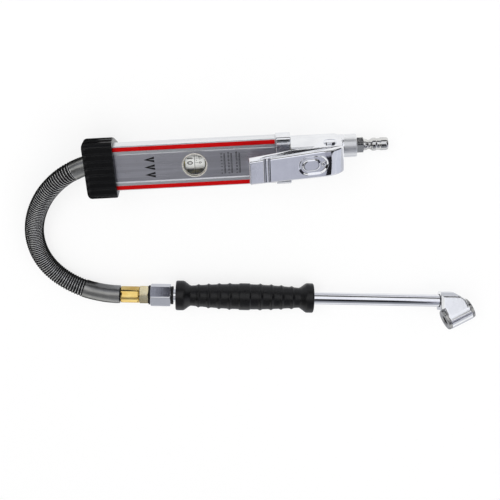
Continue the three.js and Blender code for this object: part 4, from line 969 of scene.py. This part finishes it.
def makeValveTop():
    # the nut that closes the valve's bore, and the plunger that the lever presses
    nut = {"collar": 8.6, "hex": 7.8, "thread": 6, "bore": 2.9}
    at = (valveX, 0, 0)
    bore, flat = nut["bore"], nut["hex"] * cos(pi / 6)
    profile = [(26.8, bore), (26.8, nut["thread"]), (36.3, nut["thread"]), (36.3, nut["collar"], 0.3),
               (38, nut["collar"], 0.4), (38, 7.4), (38, bore)]
    work = blank(turned(profile, "z", at, 96, closed=True))
    hexProfile = [(37.9, bore), (37.9, nut["hex"]), (39.8, nut["hex"]), (40.4, flat), (40.4, bore)]
    fuse(work, turned(hexProfile, "z", at, 144, hexReach(flat, 30), closed=True))
    settle(work, "valveCapNut", gunPlace, nutBrass, ["valve_cap_nut"])
    land, stem, seat = 3.7, 2.6, 2.2
    plunger = [
        (12.9, land), (14.1, land), (14.2, stem), (15.8, stem), (15.9, land), (16.6, land), (17, seat),
        (19.6, seat), (20, land), (20.7, land), (20.8, stem), (22.4, stem), (22.5, land), (24, land),
        (24.4, stem), (53.6, stem, 0.6), (54.6, 1.8, 0.6), (54.95, 0.4)]
    settle(turned(plunger, "z", at, 64), "valvePlunger", gunPlace, screwSteel, ["valve_plunger"],
           "plunger")


makeHead()
makeFlangeScrews()
makeInletPlug()
makeValveTop()
print("head, screws, plug and valve top made")


# Lever: a pressed channel with a flat thumb plate, a bend, and two round ears on the pivot.
def makeLever():
    lever = {"half": 13, "inner": 11, "left": 2.8, "leftTop": 64.8, "bend": 76.5, "bendTop": 54.45,
             "tail": ((81.2, 53.1), (86, 50), (89.6, 46.3)), "tailEnd": (91.8, 42.6), "ear": 12, "wall": 2,
             "soft": 1.9, "crownUpper": 3.4, "crownLower": 1.6, "crownFrom": 60, "crownTo": 91}
    left, top, bend, low = lever["left"], lever["leftTop"], lever["bend"], lever["bendTop"]
    px, _, pz = pivotAt
    earTop = (px + lever["ear"] * cos(radians(40)), pz + lever["ear"] * sin(radians(40)))
    upper = rounded([(left, 58.2), (left + 0.4, top - 0.2, 1.2), (bend, low, 2.2),
                     *((*p, 2.1) for p in lever["tail"]), (*lever["tailEnd"], 0.9), earTop], steps=6)
    under = arc(px, pz, lever["ear"], 36, -172, 40)
    lower = rounded([under[-1], (66, 39, 3), (61.5, 44.8, 3), (54, 48.2, 4), (43, 51, 4), (28.7, 53.4, 4),
                     (left + 1.2, 57.3, 1), (left, 58.2)], steps=5)[1:-1]
    outline = upper[:-1] + under + lower

    def crowned(shape):
        # towards both edges the bend sits further back
        for vertex in shape.verts:
            x, y, z = vertex.co
            if z > pz and lever["crownFrom"] < x < lever["crownTo"]:
                fade = sin(pi * (x - lever["crownFrom"]) / (lever["crownTo"] - lever["crownFrom"])) ** 2
                crown = lever["crownUpper"] if y > 0 else lever["crownLower"]
                vertex.co.x -= crown * (y / lever["half"]) ** 2 * fade
        return shape

    slope = (top - low) / (bend - left)
    skirt = {"tipHalf": 9.2, "fullAt": 51, "flare": 2.4, "deep": 6, "from": 47, "to": 62}

    def skirted(shape):
        # the upper side draws in towards the tip, and its wall flares out below the plate
        for vertex in shape.verts:
            x, y, z = vertex.co
            if y <= 0:
                continue
            drawn = clamp((x - left) / (skirt["fullAt"] - left))
            share = (skirt["tipHalf"] + (lever["half"] - skirt["tipHalf"]) * drawn) / lever["half"]
            fade = clamp((skirt["to"] - x) / (skirt["to"] - skirt["from"]))
            below = clamp((top - slope * (x - left) - z) / skirt["deep"])
            vertex.co.y = y * (share + skirt["flare"] * fade * below / lever["half"])
        bmesh.ops.triangulate(shape, faces=[face for face in shape.faces if len(face.verts) > 4])
        return shape

    outside = prism(outline, "y", -lever["half"], lever["half"], lever["soft"], 8, 24)
    work = blank(skirted(crowned(outside)))
    hollow = [(left - 6, top - lever["wall"] + 0.8), (bend - 0.4, low - lever["wall"], 1.5), (89.4, 42.2),
              (90.2, 41.2), (97, 40), (97, 12), (-6, 12)]
    cut(work, skirted(prism(rounded(hollow, True), "y", -lever["inner"], lever["inner"], 0.8)),
        rod("y", -20, 20, pivotBore, pivotAt))
    onPlate = Matrix.Translation((left, 0, top)) @ Matrix.Rotation(atan2(top - low, bend - left), 4, "Y")

    def laid(shape):
        bmesh.ops.transform(shape, matrix=onPlate, verts=shape.verts)
        return shape

    def stadium(middle, halfLength, radius, steps=16):
        return (arc(middle + halfLength - radius, 0, radius, -90, 90, steps)
                + arc(middle - halfLength + radius, 0, radius, 90, 270, steps))

    # The dish: a stadium that sinks in along a soft slope.
    dish = {"middle": 59.9, "halfLength": 14.7, "radius": 10, "slope": 3, "deep": 1.5, "over": 0.02}
    over = stadium(dish["middle"], dish["halfLength"] + dish["over"], dish["radius"] + dish["over"])
    rings = [[(u, v, height) for u, v in over] for height in (3, dish["over"])]
    steps = 12
    for k in range(steps + 1):
        drawIn = dish["slope"] * k / steps
        depth = dish["deep"] * (0.5 - 0.5 * cos(pi * k / steps))
        ring = stadium(dish["middle"], dish["halfLength"] - drawIn, dish["radius"] - drawIn)
        rings.append([(u, v, -depth) for u, v in ring])
    cut(work, laid(skin(rings)))
    # The raised pill in the dish and the round bump at its end.
    pill = {"middle": 58.3, "halfLength": 9, "radius": 6.2, "foot": -1.6, "top": 0.2, "crown": 2.6}
    rings, steps = [], 13
    for k in range(steps + 1):
        t = pi / 2 * k / steps
        drawIn = pill["crown"] * (1 - cos(t))
        ring = stadium(pill["middle"], pill["halfLength"] - drawIn, pill["radius"] - drawIn)
        rings.append([(u, v, pill["foot"] + (pill["top"] - pill["foot"]) * sin(t)) for u, v in ring])
    bump = [(-1.6, 2.7), (-1.0, 2.6, 0.4), (-0.25, 2.0, 0.7), (0.05, 1.0, 0.5), (0.1, 0.2)]
    fuse(work, laid(skin(rings)), laid(turned(bump, "z", (70, 0, 0), 48)))
    # Two finger ridges across the tip: low arcs of a rod that lies in the plate.
    ridge = {"places": (14.8, 18.8), "radius": 6, "sunk": 5.83, "ends": 1.2}
    reach = lever["half"] - ridge["ends"]
    for x in ridge["places"]:
        hump = arc(x, -ridge["sunk"], ridge["radius"], 104, 76, 12)
        fuse(work, laid(prism(hump, "y", -reach, reach, 0.3)))
    settle(work, "lever", gunPlace, chrome, ["lever"], "lever", edge=30)


def makePivot():
    shank, thread, head, start = 3, 2.6, 6, 13.2
    slot = {"from": 14.7, "half": 0.6}
    profile = [(-16.6, 2.2), (-16.4, thread), (-13.1, thread), (-13.1, shank), (start, shank), (start, head),
               (14.7, head, 0.5), (15.3, 4.6, 1.2), (15.6, 2.6, 1.2), (15.7, 0.4)]
    x, _, z = pivotAt
    work = blank(turned(profile, "y", pivotAt, 96))
    cut(work, box(x - 8, x + 8, slot["from"], 17, z - slot["half"], z + slot["half"]))
    settle(work, "pivotScrew", gunPlace, chrome, ["pivot_screw"])
    corner, bore = 5.4, 2.95
    flat = corner * cos(pi / 6)
    nut = [(-16.2, bore), (-16.2, flat), (-15.7, corner), (-13.7, corner), (-13.2, flat), (-13.2, bore)]
    settle(turned(nut, "y", pivotAt, 144, hexReach(flat, 30), closed=True), "pivotNut", gunPlace, chrome,
           ["pivot_nut"])


makeLever()
makePivot()
print("lever and pivot made")


# Wand: nut, seals, coupling, tube and grip.
def makeWand():
    nut = {"start": -37.4, "end": -28.2, "corner": 10.4, "turn": 28, "bore": 3}
    thread = {"start": -28.7, "end": -21, "radius": 6.4}
    stub = [(thread["start"], nut["bore"]), (thread["start"], thread["radius"]),
            (thread["end"], thread["radius"], 0.5), (thread["end"], nut["bore"])]
    work = fuse(blank(hexBar(**nut)), turned(stub, closed=True))
    settle(work, "hoseNut", wandPlace, nutBrass, ["hose_nut"])
    coupling = {"start": -26.2, "end": -5.1, "corner": 12.3, "turn": 41.4, "bore": 6.75}
    settle(hexBar(**coupling), "couplingHex", wandPlace, chrome, ["coupling_hex"])
    sealBore = 6.8
    for name, low, high, outer in (("Left", -28, -26.5, 10), ("Right", -4.9, -2.5, 9.4)):
        ring = [(low, sealBore), (low, outer, 0.4), (high, outer, 0.4), (high, sealBore)]
        settle(turned(ring, closed=True), f"couplingSeal{name}", wandPlace, sealRubber,
               [f"coupling_seal_{name.lower()}"])
    tube = {"start": -19, "end": 283.5, "bore": 4.2, "outer": 6.45}
    wall = [(tube[end], tube[side]) for end, side in
            (("start", "bore"), ("start", "outer"), ("end", "outer"), ("end", "bore"))]
    settle(turned(wall, closed=True), "wandTube", wandPlace, chrome, ["wand_tube"])


def makeGrip():
    grip = {"length": 143.4, "bore": 6.75, "flange": 15.5, "belly": 10.5, "swell": 2.75, "bellyFrom": 15,
            "bellyLong": 113, "from": 16, "to": 128, "step": 0.6}
    rings = {"places": (23.4, 33.9, 44.9, 55.9, 87.9, 99.4, 109.9, 120.8), "tall": 1.1, "wide": 1.5}
    band = {"start": 65.2, "end": 77.7, "tall": 0.8, "slope": 1.2}

    def radiusAt(s):
        share = clamp((s - grip["bellyFrom"]) / grip["bellyLong"])
        radius = grip["belly"] + grip["swell"] * sin(pi * share)
        for place in rings["places"]:
            radius += rings["tall"] * exp(-((s - place) / rings["wide"]) ** 2)
        edge = clamp(min(s - band["start"], band["end"] - s) / band["slope"])
        return radius + band["tall"] * edge * edge * (3 - 2 * edge)

    count = int((grip["to"] - grip["from"]) / grip["step"])
    stations = [grip["from"] + grip["step"] * k for k in range(count + 1)]
    end, flange = grip["length"], grip["flange"]
    profile = [(0, grip["bore"]), (0, 14.6, 1), (1, flange, 1.2), (8.4, flange, 1.6), (11, 13.6, 2.4),
               (14.6, 10.9, 2.2), *((s, radiusAt(s)) for s in stations), (129.2, 10.7, 2), (133.6, 13.9, 2),
               (135.8, flange, 1.4), (142.4, flange, 1), (end, 14.6, 0.8), (end, grip["bore"])]
    settle(turned(profile, steps=128, closed=True), "gripSleeve", wandPlace, gripRubber,
           ["grip_sleeve"], edge=60)


makeWand()
makeGrip()
print("wand and grip made")


# Chuck: a flat web between the hub on the wand and the slanted barrel, with a nut at each end.
barrelSizes = {"radius": 11.2, "back": -12.4, "front": 12.2, "bore": 6.3, "wallHalf": 1.8}


def makeChuck():
    thick, hub, hubBore, b = 11, 10, 6.75, barrelSizes
    slant, (bx, by) = radians(places["barrelSlant"]), places["barrelMiddle"]
    toBarrel = Matrix.Translation((bx, by, 0)) @ Matrix.Rotation(slant, 4, "Z")

    def onBarrel(s, across):
        return (bx + s * cos(slant) - across * sin(slant), by + s * sin(slant) + across * cos(slant))

    def slanted(shape):
        bmesh.ops.transform(shape, matrix=toBarrel, verts=shape.verts)
        return shape

    edge = b["radius"] - 0.2
    plan = rounded([(-1, hub, 0.6), (9.5, hub, 3), (13.5, hub - 1.6, 3), onBarrel(b["front"], edge),
                    onBarrel(b["front"], 0), onBarrel(b["back"], 0), onBarrel(b["back"], edge),
                    (-1, -hub + 0.5, 0.6)], True)
    across = [(hub + 0.2, -4), (hub + 0.2, 4), (8.6, 7), (4.6, 10.3), (3, thick), (-30, thick),
              (-30, -thick), (3, -thick), (4.6, -10.3), (8.6, -7)]
    along = [(-1.2, -8.6), (-1.2, 8.6), (2.2, thick), (50, thick), (50, -thick), (2.2, -thick)]
    work = blank(prism(plan, "z", -thick, thick, 1.6))
    worked(work, prism(across, "x", -2, 60), "INTERSECT")
    worked(work, prism(along, "y", -60, 20), "INTERSECT")
    fuse(work, slanted(turned([(b["back"], b["radius"], 0.5), (b["front"], b["radius"], 0.5)], steps=128)))
    castSkin(work, 0.32)
    cut(work, slanted(rod("x", b["wallHalf"], b["front"] + 1, b["bore"])),
        slanted(rod("x", b["back"] - 1, -b["wallHalf"], b["bore"])), rod("x", -2.5, 6.3, hubBore))
    settle(work, "chuckHead", chuckPlace, satinChrome, ["chuck_head"], edge=40,
           upright=True)
    # a thin black ring in the hub's mouth round the tube, painted shade for the dark gap between tube and
    # hub
    collar = [(-1.5, 6.5), (-1.5, 6.8, 0.1), (-1.1, 6.9, 0.1), (-1.1, 6.5)]
    settle(turned(collar, steps=64, closed=True), "hubMouthShade", chuckPlace, sealRubber)
    # Each end of the barrel, drawn outwards from its face.
    nutBore, nutOuter, sealBore, sealOuter = 4.7, 10.9, 3.7, 6.05
    nut = [(0.2, nutBore), (0.2, nutOuter, 0.2), (2.5, nutOuter, 0.6), (3.2, 10.1, 0.3), (3.2, 6.6, 0.4),
           (2.2, nutBore, 0.3)]
    seal = [(-3, sealBore), (-3, sealOuter), (-0.2, sealOuter, 0.2), (-0.2, sealBore, 0.6)]
    pin = [(-4.8, 5.9), (-3.4, 5.9), (-3.2, 2.4), (-2.6, 1.2, 0.3), (-0.9, 1.1, 0.2), (-0.6, 0.7)]
    for name, face, turn in (("front", b["front"], 0), ("rear", -b["back"], pi)):
        title = name.title()
        endPlace = barrelPlace @ Matrix.Rotation(turn, 4, "Z") @ Matrix.Translation((face * mm, 0, 0))
        settle(turned(nut, reach=hexReach(10.45, 42, 40), closed=True), f"chuckNut{title}", endPlace,
               nutSteel, [f"chuck_nut_{name}"], upright=True)
        settle(turned(seal, steps=64, closed=True), f"chuckSeal{title}", endPlace, sealRubber,
               [f"chuck_seal_{name}"])
        settle(turned(pin, steps=48), f"chuckPin{title}", endPlace, nutBrass, [f"chuck_pin_{name}"],
               f"{name}_pin")


makeChuck()
print("chuck made")


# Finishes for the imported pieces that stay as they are, most of them inside.
keptFinishes = {
    insideAluminium: ("end_cap", "air_tube"),
    satinAluminium: ("head_gasket",),
    ferruleBrass: ("hose_tail_fitting", "hose_ferrule_body"),
    gaugeBrass: ("gauge_cylinder", "gauge_piston", "gauge_frame"),
    screwSteel: ("twist_spindle", *(f"end_cap_screw_{i}" for i in range(1, 5))),
    guardSteel: ("gauge_spring", "valve_spring", "chuck_spring_front", "chuck_spring_rear"),
    sealRubber: ("lens_seal", "piston_seal", "plunger_seal_upper", "plunger_seal_lower",
                 "air_tube_seal_front", "air_tube_seal_rear"),
}
for material, names in keptFinishes.items():
    for name in names:
        nodes[name].data.materials.clear()
        nodes[name].data.materials.append(material)
print("kept pieces finished")


# Studio: a white table, a white room, soft lamps, and cards that only show in the gloss.
seenRays = ("Is Camera Ray", "Is Glossy Ray", "Is Transmission Ray")


def makeTable():
    table = {"half": 6, "white": 0.96, "patches": 0.02, "ownLight": 0.78}
    half, white = table["half"], table["white"]
    data = bpy.data.meshes.new("table")
    corners = [(-half, -half, 0), (half, -half, 0), (half, half, 0), (-half, half, 0)]
    data.from_pydata(corners, [], [(0, 1, 2, 3)])
    material, tree, shader = startMaterial("tableWhite")
    shade = blendColours(tree, noiseAt(tree, 3), (white,) * 3, (white + table["patches"],) * 3)
    feed(tree, shader, {"Base Color": shade, "Roughness": 0.9, "Specular IOR Level": 0.1})
    share = mathNode(tree, "MULTIPLY", rayKinds(tree, seenRays), table["ownLight"])
    showMix(tree, share, shader, addNode(tree, "Emission", {}))
    data.materials.append(material)
    linked("table", data)


def makeRoom():
    room = {"seen": 1.0, "light": 0.84}
    world = bpy.data.worlds.new("room")
    bpy.context.scene.world = world
    world.use_nodes = True
    tree = world.node_tree
    levels = {"To Min": room["light"], "To Max": room["seen"]}
    level = addNode(tree, "MapRange", {"Value": rayKinds(tree, seenRays), **levels})
    feed(tree, tree.nodes["Background"], {"Color": (1, 1, 1, 1), "Strength": level.outputs["Result"]})


def makeLamp(name, spot, size, power):
    data = bpy.data.lights.new(name, "AREA")
    data.shape = "DISK"
    data.size = size
    data.energy = power
    lamp = linked(name, data)
    lamp.location = spot
    lamp.rotation_euler = (-Vector(spot)).to_track_quat("-Z", "Y").to_euler()
    lamp.visible_glossy = False


def makeCard(name, corners, *tones):
    # a card that only gloss sees, in one tone or shaded evenly from one edge's to the other's
    data = bpy.data.meshes.new(name)
    data.from_pydata(corners, [], [(0, 1, 2, 3)])
    layer = data.color_attributes.new("tone", "FLOAT_COLOR", "CORNER")
    for i, tone in enumerate((tones[0], tones[0], tones[-1], tones[-1])):
        layer.data[i].color = (*tone, 1)
    material, tree, _ = startMaterial(name)
    tone = tree.nodes.new("ShaderNodeVertexColor")
    tone.layer_name = "tone"
    light = addNode(tree, "Emission", {"Color": tone.outputs["Color"]})
    feed(tree, tree.nodes["Material Output"], {"Surface": light.outputs[0]})
    data.materials.append(material)
    card = linked(name, data)
    card.visible_camera = False
    card.visible_diffuse = False
    card.visible_shadow = False
    card.visible_transmission = False


makeTable()
makeRoom()
makeLamp("keyLamp", (-0.7, 0.9, 1.5), 1.0, 7)
makeLamp("sideLamp", (1.1, -0.3, 1.2), 0.8, 3)
# Tones that several cards share, from the darkest.
black = (0.015, 0.015, 0.018)
dark = (0.02, 0.02, 0.024)
dusk = (0.03, 0.03, 0.04)
shade = (0.19, 0.2, 0.22)
slate = (0.36, 0.37, 0.4)
bend = (0.36, 0.36, 0.43)
near = (0.6, 0.61, 0.65)
pale, paler = (0.66, 0.68, 0.76), (0.68, 0.7, 0.78)
bright = (1.0, 1.01, 1.07)
# Overhead cards lie in one plane, high up: x and y are slopes from the table, then the tones.
high = 6
overhead = {
    "frontDark": ((-0.02, 0.27), (0.18, -0.25), black),
    "frontFade": ((-0.6, 0.27), (0.36, 0.18), (0.95, 0.95, 0.96), (0.02, 0.02, 0.025)),
    "middleFade": ((-0.02, 0.27), (-0.25, -0.5), black, shade),
    "backFade": ((-0.6, 0.27), (-0.5, -1.0), shade, slate),
    "backPale": ((-0.6, 1.15), (-1.0, -2.6), slate, (0.64, 0.65, 0.7)),
    "leftLight": ((-0.14, -0.02), (0.18, -0.5), (0.95, 0.94, 0.97), (0.04, 0.04, 0.05)),
    "leftFar": ((-1.8, -0.6), (0.27, -0.5), (0.015, 0.015, 0.015)),
    "leftDark": ((-0.6, -0.14), (0.18, -0.5), (0.16, 0.16, 0.17), (0.4, 0.4, 0.42)),
    "plateLight": ((0.27, 0.45), (0.18, -1.0), (0.56, 0.57, 0.65), (0.42, 0.43, 0.5)),
    "bendDark": ((0.45, 0.85), (-0.3, -0.76), (0.012, 0.012, 0.014)),
    "bendFront": ((0.45, 0.85), (0.02, -0.3), bend),
    "bendBack": ((0.45, 0.85), (-0.76, -1.0), bend),
    "rightPale": ((0.85, 2.6), (-0.3, -1.6), (0.66, 0.67, 0.74), paler),
    "chuckHigh": ((0.1, 0.49), (1.3, 0.25), bright),
    "cornerHigh": ((0.5, 2.6), (1.1, 0.2), dark),
    "cornerNear": ((0.85, 2.6), (0.2, -0.3), dark),
}
sideways = ("leftLight", "leftDark", "plateLight", "rightPale")
for name, (across, along, *tones) in overhead.items():
    x0, x1, y0, y1 = (slope * high for slope in (*across, *along))
    corners = ((x0, y0, high), (x1, y0, high), (x1, y1, high), (x0, y1, high))
    if name in sideways:
        corners = ((x0, y0, high), (x0, y1, high), (x1, y1, high), (x1, y0, high))
    makeCard(name, corners, *tones)


# The other cards stand round the table or lie just over it.
def upright(first, last, low, high):
    return (*first, low), (*last, low), (*last, high), (*first, high)


def lying(height, *corners):
    return [(x, y, height) for x, y in corners]


standing = {
    "farDark": (upright((-0.1, 2), (3, 2), 0.17, 1.06), dusk),
    "farLeft": (upright((-3, 2), (-0.1, 2), 0.17, 1.9), (0.12, 0.12, 0.14), (0.5, 0.52, 0.6)),
    "cornerDark": (upright((3, -0.3), (3, 2), 0.02, 1.4), dusk),
    "rightCard": (upright((3, -2.2), (3, -0.3), 0.02, 1.15), pale, paler),
    "rightTable": (lying(0.004, (0.3, -2.2), (0.3, -0.02), (3, -0.3), (3, -2.2)), pale, paler),
    "cornerTable": (lying(0.004, (0.3, 0.12), (0.3, 0.8), (3, 2), (3, -0.3)), dusk),
    "bendTable": (lying(0.003, (-0.6, -0.3), (-0.19, -0.3), (-0.18, 0.2), (-0.6, 0.2)), (0.02, 0.02, 0.02)),
    "nearTable": (lying(0.003, (-0.2, -2), (0.3, -2), (0.3, -0.1), (-0.2, -0.1)), near),
    "middleTable": (lying(0.003, (-0.2, -0.06), (0.3, -0.06), (0.3, 0.06), (-0.2, 0.06)), near),
    "leftCard": (upright((-1.6, -1.5), (-1.6, 1.5), 0.2, 0.9), (0.05, 0.05, 0.06)),
}
for name, (corners, *tones) in standing.items():
    makeCard(name, corners, *tones)
print("studio set")
